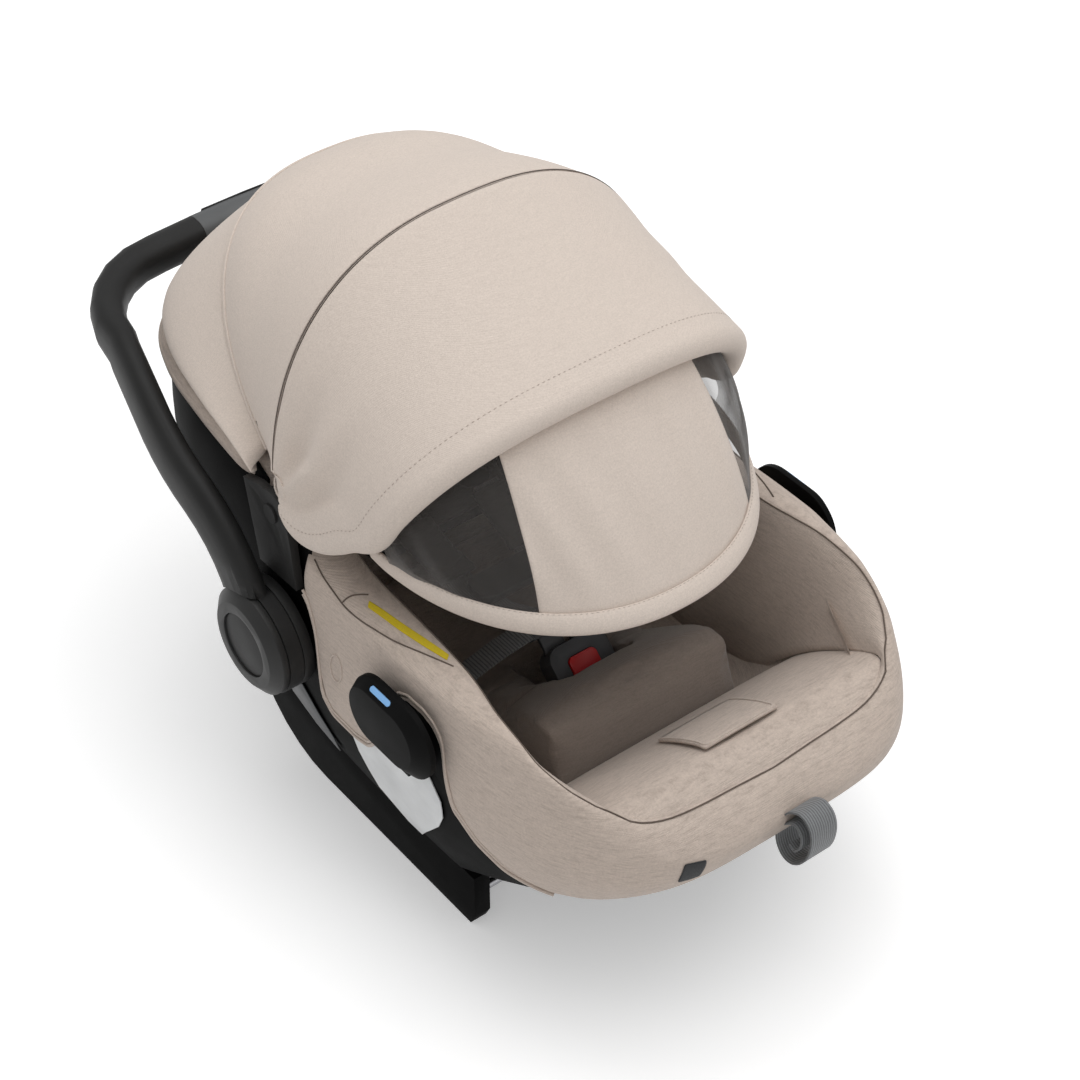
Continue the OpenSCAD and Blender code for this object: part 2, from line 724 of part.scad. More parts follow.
module hub_pins() color("silver") {
    for (s = [-1, 1]) side(s) translate([0, hub_y, hub_z]) {
        disc_x(boss_in - 3, boss_in, hub_pin_r + 3);
        disc_x(boss_in, disc_out - 0.3, hub_pin_r);
    }
}

// The handle's side view: lean of the arm behind upright after a length s
function arm_lean(s) = 18 + 54 * smooth((s - 10) / 140) + 10 * smooth((s - 200) / 120);
handle_step = 6;
arm_route = [for (i = 0, p = [hub_y, hub_z]; i * handle_step <= handle_len + 40;
    a = arm_lean((i + 0.5) * handle_step),
    p = p + handle_step * [sin(a), cos(a)], i = i + 1) p];
function arm_at(s) = let (i = min(floor(s / handle_step), len(arm_route) - 2),
    f = s / handle_step - i) arm_route[i] * (1 - f) + arm_route[i + 1] * f;

// Flat pattern of the bail: [x, s] from one end over the grip to the other
corner_r = 80;
grip_arch = 6;
bail_start = 34;
function bail_x(s) = arm_x - 40 * smooth((s - 130) / 250);
bail_half = concat(
    [for (s = [bail_start:18:handle_len - corner_r - 10]) [bail_x(s), s]],
    [for (a = [0:15:75]) [
        bail_x(handle_len - corner_r) - corner_r * (1 - cos(a)),
        handle_len - corner_r - 4 + corner_r * sin(a)]]
);
bail_in = bail_half[len(bail_half) - 1][0];
function bail_s(x) = handle_len - 5.9 + grip_arch * (1 - pow(x / bail_in, 2));
bail = concat(
    bail_half,
    [for (k = [0.82, 0.6, 0.3, 0, -0.3, -0.6, -0.82]) [bail_in * k, bail_s(bail_in * k)]],
    [for (i = [len(bail_half) - 1:-1:0]) [-bail_half[i][0], bail_half[i][1]]]
);

// A cross-section of the bail at its point i
bail_sides = 16;
function bail_section(pts, i, scale_w, scale_t) =
    let (n = len(pts), p = pts[i], t = pts[min(i + 1, n - 1)] - pts[max(i - 1, 0)],
        tn = t / norm(t), nn = [-tn[1], tn[0]], c = arm_at(p[1]), e = arm_at(p[1] + 3),
        d = (e - c) / norm(e - c), mix = smooth((p[1] - handle_len + 110) / 90),
        th = (arm_t * (1 - mix) + grip_d * mix) / 2 * scale_t,
        wd = (arm_w * (1 - mix) + (grip_d + 2) * mix) / 2 * scale_w,
        q = 2.6)
    [for (k = [0:bail_sides - 1])
        let (u = -360 * (k + 0.5) / bail_sides, a = th * se(cos(u), q), b = wd * se(sin(u), q))
        [p[0] + nn[0] * a, c[0] + nn[1] * a * d[0] + b * d[1], c[1] + nn[1] * a * d[1] - b * d[0]]];

module handle_frame() color("#1b1b1c") {
    difference() {
        union() {
            rod([for (i = [0:len(bail) - 1]) bail_section(bail, i, 1, 1)]);
            for (s = [-1, 1]) side(s) translate([0, hub_y, hub_z])
                disc_x(disc_in, disc_out, hub_r);
        }
        for (s = [-1, 1]) side(s) translate([0, hub_y, hub_z]) {
            disc_x(disc_in - 1, disc_out + 20, hub_pin_r + pin_run);
            disc_x(disc_out, cap_out + 20, hub_r + 0.5);
            disc_x(disc_in - 1, disc_in + 4.5, gear_r + 0.4);
            gear_posts(push_r + 0.6, disc_in, disc_out + 1);
            disc_x(150, disc_in, hub_r + 10);
        }
        grip_space();
    }
}

// The stretch of the bail that the grip sleeve takes up
module grip_space() {
    n = 8;
    pts = [for (i = [0:n]) let (x = grip_half * (1 - 2 * i / n)) [x, bail_s(x)]];
    rod([for (i = [0:n]) bail_section(pts, i, 2, 2)]);
}

module handle_grip() color("#6b6e70") {
    n = 8;
    pts = [for (i = [0:n]) let (x = (grip_half - 0.2) * (1 - 2 * i / n)) [x, bail_s(x)]];
    rod([for (i = [0:n]) bail_section(pts, i, 1, 1)]);
}

module hub_cap() color("#202021") {
    translate([0, hub_y, hub_z]) difference() {
        union() {
            disc_x(disc_out + 0.2, cap_out - cap_bevel, hub_r - 1);
            translate([cap_out - cap_bevel, 0, 0]) rotate([0, 90, 0])
                rotate_extrude($fn = 96) polygon([[0, 0], [hub_r - 1, 0],
                    [hub_r - 1 - 1.3 * cap_bevel, cap_bevel], [0, cap_bevel]]);
        }
        disc_x(disc_out, cap_out + 1, button_r + 0.4);
    }
}
cap_bevel = 7;
button_r = 27;
module hub_cap_left() side(-1) hub_cap();
module hub_cap_right() side(1) hub_cap();

module handle_button() color("#171718") {
    translate([0, hub_y, hub_z])
        disc_x(disc_out + button_travel + 0.5, cap_out - 1.6, button_r);
}
module handle_button_left() side(-1) handle_button();
module handle_button_right() side(1) handle_button();

// Toothed ring that the button pushes out of mesh, by three posts through the handle's web
gear_teeth = 8;
gear_pocket = 9;
push_r = 2;
module gear_posts(r, x0, x1) {
    for (i = [0:2]) rotate([i * 120, 0, 0]) translate([0, 0, 12]) disc_x(x0, x1, r);
}
module lock_gear() color("silver") {
    translate([0, hub_y, hub_z]) {
        difference() {
            disc_x(base_out - 3.4, disc_in + 4, gear_r);
            disc_x(base_out - 6, disc_out, hub_pin_r + 1);
            for (i = [0:gear_teeth - 1]) rotate([i * 360 / gear_teeth, 0, 0])
                translate([base_out - 6, -2, gear_r - 4]) cube([20, 4, 8]);
        }
        gear_posts(push_r, disc_in + 3, disc_out + button_travel + 0.5);
    }
}
module lock_gear_left() side(-1) lock_gear();
module lock_gear_right() side(1) lock_gear();

// Dark strip let into the top of the grip, under the lever that folds the handle
module grip_strip() color("#222223") {
    half = grip_half - 16;
    n = 6;
    pts = [for (i = [0:n]) let (x = half * (1 - 2 * i / n)) [x, bail_s(x) + grip_d / 2 + 2.2]];
    rod([for (i = [0:n]) let (c = bail_section(pts, i, 0.5, 0.14)) c]);
}

/* Canopy --------------------------------------------------------------------------- */

mount_bolts = [[59, 267], [92, 280]];
mount_bolt_r = 5;
mount_in = wall_x - 8;
mount_x = shell_half_w - 7;
canopy_half_w = shell_half_w - 4;
loop_w = canopy_half_w - 14;
visor_w = loop_w - 12;
mount_t = 7;
axle_r = 4;

// Bracket on the shell that carries the canopy's axle
module canopy_mount() color("#1d1d1e") {
    difference() {
        union() {
            translate([mount_x, 0, 0]) rotate([90, 0, 90]) linear_extrude(mount_t)
                union() {
                    polygon([[48, 258], [98, 256], [112, 330], [canopy_y + 16, 336],
                        [canopy_y - 16, 336], [52, 300]]);
                    translate([canopy_y, canopy_z]) circle(20, $fn = 64);
                }
            for (p = mount_bolts) translate([0, p[0], p[1]])
                disc_x(mount_in, mount_x + 1, mount_bolt_r);
        }
        translate([0, canopy_y, canopy_z]) disc_x(100, 220, axle_r);
    }
}
module canopy_mount_left() side(-1) canopy_mount();
module canopy_mount_right() side(1) canopy_mount();

// Axles through the brackets, which the bows' ends turn on
module canopy_pins() color("silver") {
    for (s = [-1, 1]) side(s) translate([0, canopy_y, canopy_z]) {
        disc_x(hinge_in - 2, mount_x + mount_t, axle_r);
        disc_x(mount_x + mount_t, mount_x + mount_t + 2, axle_r + 4);
    }
}

// Each bow ends in a flat eye on the axle: rear, middle and front side by side
eye_t = 3;
eye_gap = 0.4;
hinge_in = mount_x - 3 * (eye_t + eye_gap) - 1;
function eye_x(k) = mount_x - (k + 1) * (eye_t + eye_gap);
module bow_eyes(k, angle, reach) {
    for (s = [-1, 1]) side(s) translate([0, canopy_y, canopy_z]) difference() {
        union() {
            disc_x(eye_x(k), eye_x(k) + eye_t, 9);
            rotate([angle, 0, 0]) translate([eye_x(k), -4, 0]) cube([eye_t, 8, reach]);
        }
        disc_x(100, 220, axle_r + 0.05);
    }
}

// A wire bow of radius r at one angle, its legs running straight into the eyes
leg_r = 56;
module bow_frame(k, angle, r, w) {
    x = eye_x(k) + eye_t / 2;
    u0 = 13;
    n = 20;
    arch = [for (i = [0:n]) bow(u0 + (180 - 2 * u0) * i / n, r, w)];
    wire(concat([[x, leg_r]], arch, [[-x, leg_r]]), bow_d, angle, canopy_y, canopy_z);
    bow_eyes(k, angle, leg_r + 12);
}
rear_r = 212;
module rear_bow() color("#2a2a2a") bow_frame(0, -rear_angle, rear_r, canopy_half_w - 9);
module mid_bow() color("#2a2a2a")
    bow_frame(1, 0, canopy_r - bow_d / 2 - 0.4, canopy_half_w - 9);

// Moves a point outwards from the middle of the canopy
function outwards(p, d) = let (v = p - [0, canopy_y - 10, canopy_z - 50]) p + d * v / norm(v);

// Rear panel: stands proud between the rear and the middle bow
rear_panel_r = [[-41.5, 9], [-39, 15], [-31, 14], [-20, 7], [-10, 2], [-1, 1]];
module rear_panel() {
    n = 24;
    u0 = 17;
    function row(k, off) = [for (i = [0:n]) outwards(lean(bow(u0 + (180 - 2 * u0) * i / n,
        canopy_r + k[1], canopy_half_w - 1), k[0]), off)];
    color("#cdbfb2") sheet([for (k = rear_panel_r) row(k, cloth_t)],
        [for (k = rear_panel_r) row(k, 0)]);
}

// Front edge: a loop in a plane of its own, carried by side arms from the axle
loop_n = 2.8;
loop_y = canopy_y - 88;
loop_z = canopy_z + 2;
function loop_pt(u, r, w, back = 0) = let (x = w * se(cos(u), loop_n), h = r * se(sin(u), loop_n))
    [x, loop_y - h * sin(loop_angle) + back * cos(loop_angle),
        loop_z + h * cos(loop_angle) + back * sin(loop_angle)];

module front_panel() {
    n = 24;
    u0 = 10;
    rows = 6;
    function row(f, off) = [for (i = [0:n]) let (u = u0 + (180 - 2 * u0) * i / n,
        a = lean(bow(u, canopy_r + 1, canopy_half_w - 1), 1),
        b = loop_pt(u, loop_r + 6, loop_w + 8, roll_d / 2 + 2))
        outwards(a * (1 - f) + b * f, off - 3 * sin(180 * f))];
    color("#cdbfb2") sheet([for (j = [0:rows]) row(j / rows, cloth_t)],
        [for (j = [0:rows]) row(j / rows, 0)]);
}

// Padded roll along the canopy's front edge, with the side arms inside its ends
module front_roll() color("#cdbfb2") {
    n = 26;
    u0 = 5;
    wire([for (i = [0:n]) let (u = u0 + (180 - 2 * u0) * i / n)
        [loop_w * se(cos(u), loop_n), loop_r * se(sin(u), loop_n)]],
        roll_d, loop_angle, loop_y, loop_z, 12);
    for (s = [-1, 1]) side(s) {
        difference() {
            union() {
                translate([0, canopy_y, canopy_z]) disc_x(eye_x(2), eye_x(2) + eye_t, 9);
                translate([eye_x(2) + 0.2, loop_y, loop_z - 6])
                    cube([eye_t - 0.4, canopy_y - loop_y, 8]);
                translate([eye_x(2) + 0.4, loop_y, loop_z]) rotate([loop_angle, 0, 0])
                    translate([0, -4, -6]) cube([eye_t - 0.8, 8, 46]);
            }
            translate([0, canopy_y, canopy_z]) disc_x(100, 220, axle_r + 0.05);
        }
        translate([0, visor_y, visor_z]) disc_x(visor_eye_x - 1.5, eye_x(2) + 1, visor_pin_r);
    }
}
visor_pin_r = 2.5;
visor_eye_x = visor_w - 3;

// Skirt from the rear bow down to the shell's rim round the head end
module head_skirt() {
    n = 28;
    rows = 7;
    function foot_pt(i) = let (t = 172 - 164 * i / n, p = wall(t, 1, -3, function(y) belly(y)))
        [p[0], p[1], p[2] + 10];
    function top_pt(i) = lean(bow(164 - 148 * i / n, rear_r + 6, canopy_half_w), -rear_angle - 4);
    // Direction that points out of the skirt at p
    function out_of(p) = let (q = [p[0] / 176, (p[1] - 120) / 170, (p[2] - 330) / 130]) q / norm(q);
    function row(j, off) = [for (i = [0:n])
        let (f = j / rows, o = 14 * sin(180 * f) * sin(180 * i / n) + off,
            p = foot_pt(i) * (1 - f) + top_pt(i) * f)
        p + out_of(p) * o];
    color("#cdbfb2") sheet([for (j = [0:rows]) row(j, cloth_t)], [for (j = [0:rows]) row(j, 0)]);
}

/* Drop-down visor ------------------------------------------------------------------ */

visor_y = -4;
visor_z = 320;
visor_angle = 93;
visor_n = 2.15;
visor_d = 5;
function visor_curve(u, r) = [visor_w * se(cos(u), visor_n), r * se(sin(u), visor_n)];

module visor_wire() color("#cdbfb2") {
    n = 24;
    u0 = 6;
    hoop = [for (i = [0:n]) visor_curve(u0 + (180 - 2 * u0) * i / n, visor_r)];
    wire(concat([[visor_eye_x + 2, 4]], hoop, [[-visor_eye_x - 2, 4]]), visor_d,
        visor_angle, visor_y, visor_z, 8);
    for (s = [-1, 1]) side(s) translate([0, visor_y, visor_z]) difference() {
        disc_x(visor_eye_x, visor_eye_x + 4, 6);
        disc_x(visor_eye_x - 4, visor_eye_x + 9, visor_pin_r + 0.05);
    }
}

// Point of the visor's cloth: share f from the roll to the wire, side share u
function visor_pt(u, f) = let (
        w = visor_curve(u, visor_r - 6),
        low = [w[0] * 0.97, visor_y - w[1] * sin(visor_angle), visor_z + w[1] * cos(visor_angle) + 1],
        high = loop_pt(u, loop_r - roll_d / 2 - 5, loop_w - roll_d / 2 - 6))
    high * (1 - f) + low * f;
visor_split = 66;
module visor_piece(u0, u1, cols) {
    rows = 5;
    function row(f, off) = [for (j = [0:cols])
        outwards(visor_pt(u0 + (u1 - u0) * j / cols, f), off + 6 * sin(180 * f))];
    sheet([for (i = [0:rows]) row(0.98 * i / rows, cloth_t)],
        [for (i = [0:rows]) row(0.98 * i / rows, 0)]);
}
module visor_panel() color("#cdbfb2") visor_piece(visor_split, 180 - visor_split, 10);
module visor_mesh() color("#3d3a38") {
    visor_piece(24, visor_split - 1, 6);
    visor_piece(180 - visor_split + 1, 156, 6);
}

/* Trim and release ----------------------------------------------------------------- */

module side_plates() color("#e8e8e6") {
    for (s = [-1, 1]) side(s) wall_patch([[78, -76, -58], [98, -91, -29], [114, -104, -21],
        [129, -116, -13], [146, -124, -8], [156, -125, -37], [166, -125, -48],
        [186, -112, -64]], 1);
}

// A thin plate on the shell's side wall: rows of height and the places it spans
module wall_patch(rows, thick) {
    function at(y, z, off) = let (zf = belly(y), v = (z - zf) / (rim(y) - zf), m = wall_share(v))
        [plan_x(y / m) * m * lean_share(v) + off, y, z];
    function row(r, off) = [for (i = [0:4]) at(r[1] + (r[2] - r[1]) * i / 4, r[0], off)];
    sheet([for (r = rows) row(r, 0.9 + thick)], [for (r = rows) row(r, 0.9)]);
}

module side_vents() color("#3b3b3d") {
    for (s = [-1, 1]) side(s)
        wall_patch([[76, 40, 45], [88, 35, 68], [104, 34, 97], [122, 48, 98], [142, 64, 96]], 1);
}

// A thin patch that follows the wall, between directions t0, t1 and heights v0, v1
module skin_patch(t0, t1, v0, v1, grow, thick) {
    function row(v, g) = [for (i = [0:5]) wall(t0 + (t1 - t0) * i / 5, v, g, function(y) belly(y))];
    sheet([for (v = [v0, (v0 + v1) / 2, v1]) row(v, grow + thick)],
        [for (v = [v0, (v0 + v1) / 2, v1]) row(v, grow)]);
}

module caution_strip() color("#e0c21e") skin_patch(180.2, 185, 0.915, 0.965, cover_in - 8.4, 0.8);

module foot_tag() color("#333335") skin_patch(252, 259.5, 0.45, 0.78, cover_t + 3.6, 0.8);

/* Assembly ------------------------------------------------------------------------- */

module place() translate([0, frame_y, 0]) children();
place() seat_shell();
place() rest_pads();
place() dock_bars();
place() foam_liner();
place() seat_lining();
place() seat_cover();
place() foot_pad();
place() infant_insert();
place() insert_crown();
place() head_pillow();
place() side_bolsters();
place() headrest_shell();
place() headrest_pad();
place() shoulder_straps();
place() shoulder_pads();
place() hip_straps();
place() chest_clip();
place() crotch_strap();
place() buckle_body();
place() buckle_button();
place() buckle_tongues();
place() adjuster_housing();
place() adjuster_button();
place() adjuster_flap();
place() adjuster_strap();
place() belt_guide_left();
place() belt_guide_right();
place() guide_markers();
place() hub_base_left();
place() hub_base_right();
place() hub_pins();
place() handle_frame();
place() handle_grip();
place() grip_strip();
place() hub_cap_left();
place() hub_cap_right();
place() handle_button_left();
place() handle_button_right();
place() lock_gear_left();
place() lock_gear_right();
place() canopy_mount_left();
place() canopy_mount_right();
place() canopy_pins();
place() rear_bow();
place() head_skirt();
place() rear_panel();
place() mid_bow();
place() front_panel();
place() front_roll();
place() visor_wire();
place() visor_panel();
place() visor_mesh();
place() side_plates();
place() side_vents();
place() caution_strip();
place() foot_tag();
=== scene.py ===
import math
import bpy
from mathutils import Matrix, Vector
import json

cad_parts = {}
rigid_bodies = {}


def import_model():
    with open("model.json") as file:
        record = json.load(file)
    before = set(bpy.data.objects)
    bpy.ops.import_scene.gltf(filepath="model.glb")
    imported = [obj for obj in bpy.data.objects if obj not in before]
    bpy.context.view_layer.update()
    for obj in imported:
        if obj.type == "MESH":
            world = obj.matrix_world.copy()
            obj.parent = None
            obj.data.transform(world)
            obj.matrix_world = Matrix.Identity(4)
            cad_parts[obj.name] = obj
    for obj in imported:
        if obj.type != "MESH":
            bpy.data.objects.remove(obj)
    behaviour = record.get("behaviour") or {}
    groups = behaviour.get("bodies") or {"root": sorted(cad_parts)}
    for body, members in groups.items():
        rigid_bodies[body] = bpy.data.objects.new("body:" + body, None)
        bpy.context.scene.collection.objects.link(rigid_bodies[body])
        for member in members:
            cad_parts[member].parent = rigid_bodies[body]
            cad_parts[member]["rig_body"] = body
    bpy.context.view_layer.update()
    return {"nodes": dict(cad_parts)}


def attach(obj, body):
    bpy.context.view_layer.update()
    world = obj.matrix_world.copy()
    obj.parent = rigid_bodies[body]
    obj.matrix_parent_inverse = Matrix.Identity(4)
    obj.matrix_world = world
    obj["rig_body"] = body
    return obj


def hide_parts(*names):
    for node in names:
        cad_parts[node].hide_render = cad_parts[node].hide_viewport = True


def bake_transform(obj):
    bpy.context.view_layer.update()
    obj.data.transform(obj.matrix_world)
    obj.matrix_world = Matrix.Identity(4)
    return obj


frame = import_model()

# %% [markdown]
# # An infant car seat, dressed for its picture
# The seat is a rigid black shell with a quilted cover, a swing handle on two round hubs,
# a folding canopy on three bows, a harness and two belt guides. The CAD frame has every
# part at its true size. Here each part gets the look that its material has in life.
# Hard parts keep the frame's shape and gain softened edges. Loose pads are swollen with a
# cloth simulation. The cover and the canopy are drawn again as smooth sheets.
# The same few helpers are used all the way down, so they come first.

# %% Small helpers for selecting
MM = 0.001
scene = bpy.context.scene


def only(obj):
    """Selects one object alone and makes it active, since operators act on all selected."""
    bpy.ops.object.select_all(action="DESELECT")
    obj.hide_set(False)
    obj.select_set(True)
    bpy.context.view_layer.objects.active = obj
    return obj


def apply(obj, kind, **settings):
    """Adds one modifier with these settings and applies it."""
    only(obj)
    modifier = obj.modifiers.new(kind.title(), kind)
    for key, value in settings.items():
        setattr(modifier, key, value)
    bpy.ops.object.modifier_apply(modifier=modifier.name)
    return obj


def edit(obj, *steps):
    """Enters edit mode with all selected, runs each step, and leaves again."""
    only(obj)
    bpy.ops.object.mode_set(mode="EDIT")
    bpy.ops.mesh.select_all(action="SELECT")
    for step in steps:
        step()
    bpy.ops.object.mode_set(mode="OBJECT")
    return obj


bpy.ops.object.select_all(action="DESELECT")
print("everything is deselected")

# %% [markdown]
# A CAD node is stored as loose triangles. To round its edges a copy is merged first, flat
# triangles are joined into whole faces, and a narrow bevel is added along sharp edges.
# Real moulded plastic never has a knife edge: the bevel is what catches the light.
# One subdivision would round everything alike and swell the shape, so the bevel is true
# geometry.

# %% Copies of CAD nodes


def copy_of(node, name):
    """A merged copy of a CAD node's mesh, under a new name."""
    source = frame["nodes"][node]
    obj = bpy.data.objects.new(name, source.data.copy())
    scene.collection.objects.link(obj)
    obj.data.materials.clear()
    edit(obj, lambda: bpy.ops.mesh.remove_doubles(threshold=2e-6))
    return obj


def soften(obj, width, angle):
    """Joins flat triangles and bevels the edges that are sharper than angle."""
    edit(obj, lambda: bpy.ops.mesh.dissolve_limited(angle_limit=math.radians(1.5)))
    if width:
        apply(obj, "BEVEL", width=width, segments=2, limit_method="ANGLE",
              angle_limit=math.radians(angle), use_clamp_overlap=True, miter_outer="MITER_ARC")
    only(obj)
    bpy.ops.object.shade_smooth_by_angle(angle=math.radians(angle))
    return obj


def dress(obj, body, material, slot, *nodes):
    """Gives a finished piece its material and its body, and hides the CAD nodes it stands for."""
    obj.data.materials.clear()
    obj.data.materials.append(material)
    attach(obj, body)
    if nodes:
        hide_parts(*nodes)
    return obj


def body_of(node):
    """The name of the CAD body that a node belongs to."""
    return frame["nodes"][node]["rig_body"]


# %% [markdown]
# Padded cloth is blown up a little: the solid is remeshed into even small squares, a cloth
# simulation with inner pressure and no gravity swells it, and how far each point may move
# is capped, so the pad keeps its place. One subdivision then makes it smooth.
# A pad could be sculpted by hand as well, but the pressure gives any solid the crowned
# faces and pulled-in corners of real padding.

# %% Padding


def even(obj, voxel, rounds):
    """Remeshes a closed solid into even squares and smooths the steps away."""
    apply(obj, "REMESH", mode="VOXEL", voxel_size=voxel)
    apply(obj, "SMOOTH", factor=0.6, iterations=rounds)
    return obj


def shrink(obj, depth):
    """Moves every point inwards by depth, which leaves room to swell."""
    apply(obj, "DISPLACE", strength=-depth, mid_level=0.0)
    return obj


def swell(obj, cap, pressure=4.0, frames=20):
    """Blows a pad up with a cloth simulation and caps how far each point moves."""
    rest = [v.co.copy() for v in obj.data.vertices]
    only(obj)
    cloth = obj.modifiers.new("Cloth", "CLOTH")
    cloth.settings.use_pressure = True
    cloth.settings.uniform_pressure_force = pressure
    cloth.settings.effector_weights.gravity = 0
    cloth.point_cache.frame_end = frames
    for step in range(1, frames + 1):
        scene.frame_set(step)
    bpy.ops.object.modifier_apply(modifier=cloth.name)
    for vertex, start in zip(obj.data.vertices, rest):
        move = vertex.co - start
        if move.length > cap:
            vertex.co = start + move * (cap / move.length)
    scene.frame_set(1)
    return obj


def smooth(obj):
    """One subdivision, and smooth shading all over."""
    apply(obj, "SUBSURF", levels=1, render_levels=1)
    only(obj)
    bpy.ops.object.shade_smooth()
    return obj


print("padding helpers ready")

# %% [markdown]
# ## Materials
# Every finish is built from nodes on Object coordinates, so it needs no picture and stays
# put when the seat turns. A cloth mixes two close colours: slow noise gives the gentle
# change over a panel, stretched noise gives the heathered threads, and crossed fine waves
# raise the weave. Sheen adds the pale bloom that fibres show at a grazing angle.
# A painted cloth would need unwrapping, and would stretch over the bows.

# %% Material helpers


def new_material(name, rough, colour):
    """An empty node material with the object's coordinates ready to use."""
    mat = bpy.data.materials.new(name)
    mat.use_nodes = True
    mat.diffuse_color = (*colour, 1)
    tree = mat.node_tree
    shader = tree.nodes["Principled BSDF"]
    shader.inputs["Roughness"].default_value = rough
    place = tree.nodes.new("ShaderNodeTexCoord").outputs["Object"]
    return mat, tree, shader, place


def scaled(tree, place, scale, turn=(0, 0, 0)):
    """Object coordinates stretched by scale."""
    node = tree.nodes.new("ShaderNodeMapping")
    node.inputs["Scale"].default_value = scale
    node.inputs["Rotation"].default_value = turn
    tree.links.new(place, node.inputs["Vector"])
    return node.outputs[0]


def noise(tree, place, scale, detail=4.0, rough=0.5):
    """A noise pattern at this scale."""
    node = tree.nodes.new("ShaderNodeTexNoise")
    node.inputs["Scale"].default_value = scale
    node.inputs["Detail"].default_value = detail
    node.inputs["Roughness"].default_value = rough
    tree.links.new(place, node.inputs["Vector"])
    return node.outputs["Fac"]


def ramp(tree, value, stops):
    """Turns a value into colours at these stops."""
    node = tree.nodes.new("ShaderNodeValToRGB")
    first, last = stops[0], stops[-1]
    node.color_ramp.elements[0].position = first[0]
    node.color_ramp.elements[0].color = (*first[1], 1)
    node.color_ramp.elements[1].position = last[0]
    node.color_ramp.elements[1].color = (*last[1], 1)
    for at, colour in stops[1:-1]:
        node.color_ramp.elements.new(at).color = (*colour, 1)
    tree.links.new(value, node.inputs["Fac"])
    return node.outputs["Color"]


print("pattern helpers ready")

# %% Mixing colours and values


def blend_colours(tree, amount, one, two, how="MIX"):
    """Mixes two colours by an amount, which is a socket or a number."""
    node = tree.nodes.new("ShaderNodeMix")
    node.data_type = "RGBA"
    node.blend_type = how
    for socket, value in ((node.inputs[0], amount), (node.inputs[6], one), (node.inputs[7], two)):
        if isinstance(value, (int, float)):
            socket.default_value = value
        elif isinstance(value, tuple):
            socket.default_value = (*value, 1)
        else:
            tree.links.new(value, socket)
    return node.outputs[2]


def maths(tree, how, one, two):
    """A sum, product or other step between two values."""
    node = tree.nodes.new("ShaderNodeMath")
    node.operation = how
    for socket, value in ((node.inputs[0], one), (node.inputs[1], two)):
        if isinstance(value, (int, float)):
            socket.default_value = value
        else:
            tree.links.new(value, socket)
    return node.outputs[0]


print("mixing helpers ready")

# %% Ridges and relief


def waves(tree, place, scale, direction):
    """Fine parallel ridges across one direction."""
    node = tree.nodes.new("ShaderNodeTexWave")
    node.bands_direction = direction
    node.inputs["Scale"].default_value = scale
    node.inputs["Distortion"].default_value = 1.2
    node.inputs["Detail Scale"].default_value = 2.0
    tree.links.new(place, node.inputs["Vector"])
    return node.outputs["Fac"]


def bump(tree, shader, height, strength, distance):
    """Raises the surface by a height pattern."""
    node = tree.nodes.new("ShaderNodeBump")
    node.inputs["Strength"].default_value = strength
    node.inputs["Distance"].default_value = distance
    tree.links.new(height, node.inputs["Height"])
    tree.links.new(node.outputs["Normal"], shader.inputs["Normal"])


print("relief helpers ready")

# %% [markdown]
# Woven cloth is warm and dull. Three waves, one along each axis, make its threads on faces
# of any direction, where a single checker would smear on the steep sides of the seat.
# The thread's width sets all scales, so one number makes a cloth finer or coarser.

# %% Woven cloth


def cloth(name, colour, contrast=0.12, streak=0.0, thread=0.0009, sheen=0.25, relief=0.35):
    """A woven cloth: soft colour change, heathered threads and a raised weave."""
    mat, tree, shader, place = new_material(name, 0.88, colour)
    dark = tuple(c * (1 - contrast) for c in colour)
    pale = tuple(min(1, c * (1 + contrast * 0.55)) for c in colour)
    soft = ramp(tree, noise(tree, place, 9, 3), [(0.3, dark), (0.7, pale)])
    base = blend_colours(tree, 0.35, colour, soft)
    fine = noise(tree, place, 0.6 / thread, 2, 0.7)
    shade = ramp(tree, fine, [(0.3, (0.86, 0.86, 0.86)), (0.7, (1.08, 1.08, 1.08))])
    base = blend_colours(tree, 0.7, base, shade, "MULTIPLY")
    if streak:
        long = scaled(tree, place, (0.16, 0.16, 1.5))
        lines = noise(tree, long, 0.55 / thread, 5, 0.75)
        heather = ramp(tree, lines, [(0.36, (0.62, 0.6, 0.58)), (0.5, (1, 1, 1)),
                                     (0.66, (1.22, 1.22, 1.2))])
        base = blend_colours(tree, streak, base, heather, "MULTIPLY")
    tree.links.new(base, shader.inputs["Base Color"])
    period = 0.314 / thread
    warp = waves(tree, place, period, "X")
    weft = waves(tree, place, period, "Y")
    rise = waves(tree, place, period, "Z")
    weave = maths(tree, "ADD", maths(tree, "MULTIPLY", warp, weft), rise)
    height = maths(tree, "ADD", weave, maths(tree, "MULTIPLY", fine, 1.2))
    bump(tree, shader, height, relief, thread * 0.25)
    shader.inputs["Sheen Weight"].default_value = sheen
    shader.inputs["Sheen Roughness"].default_value = 0.5
    shader.inputs["Specular IOR Level"].default_value = 0.2
    return mat


print("cloth finish ready")

# %% [markdown]
# Moulded plastic is never one flat colour. Its tone and gloss change slowly over a panel,
# the mould leaves a fine grain, and edges that hands rub turn a little paler.
# With one flat colour and roughness, a large black panel looks like cut paper.

# %% Moulded plastic


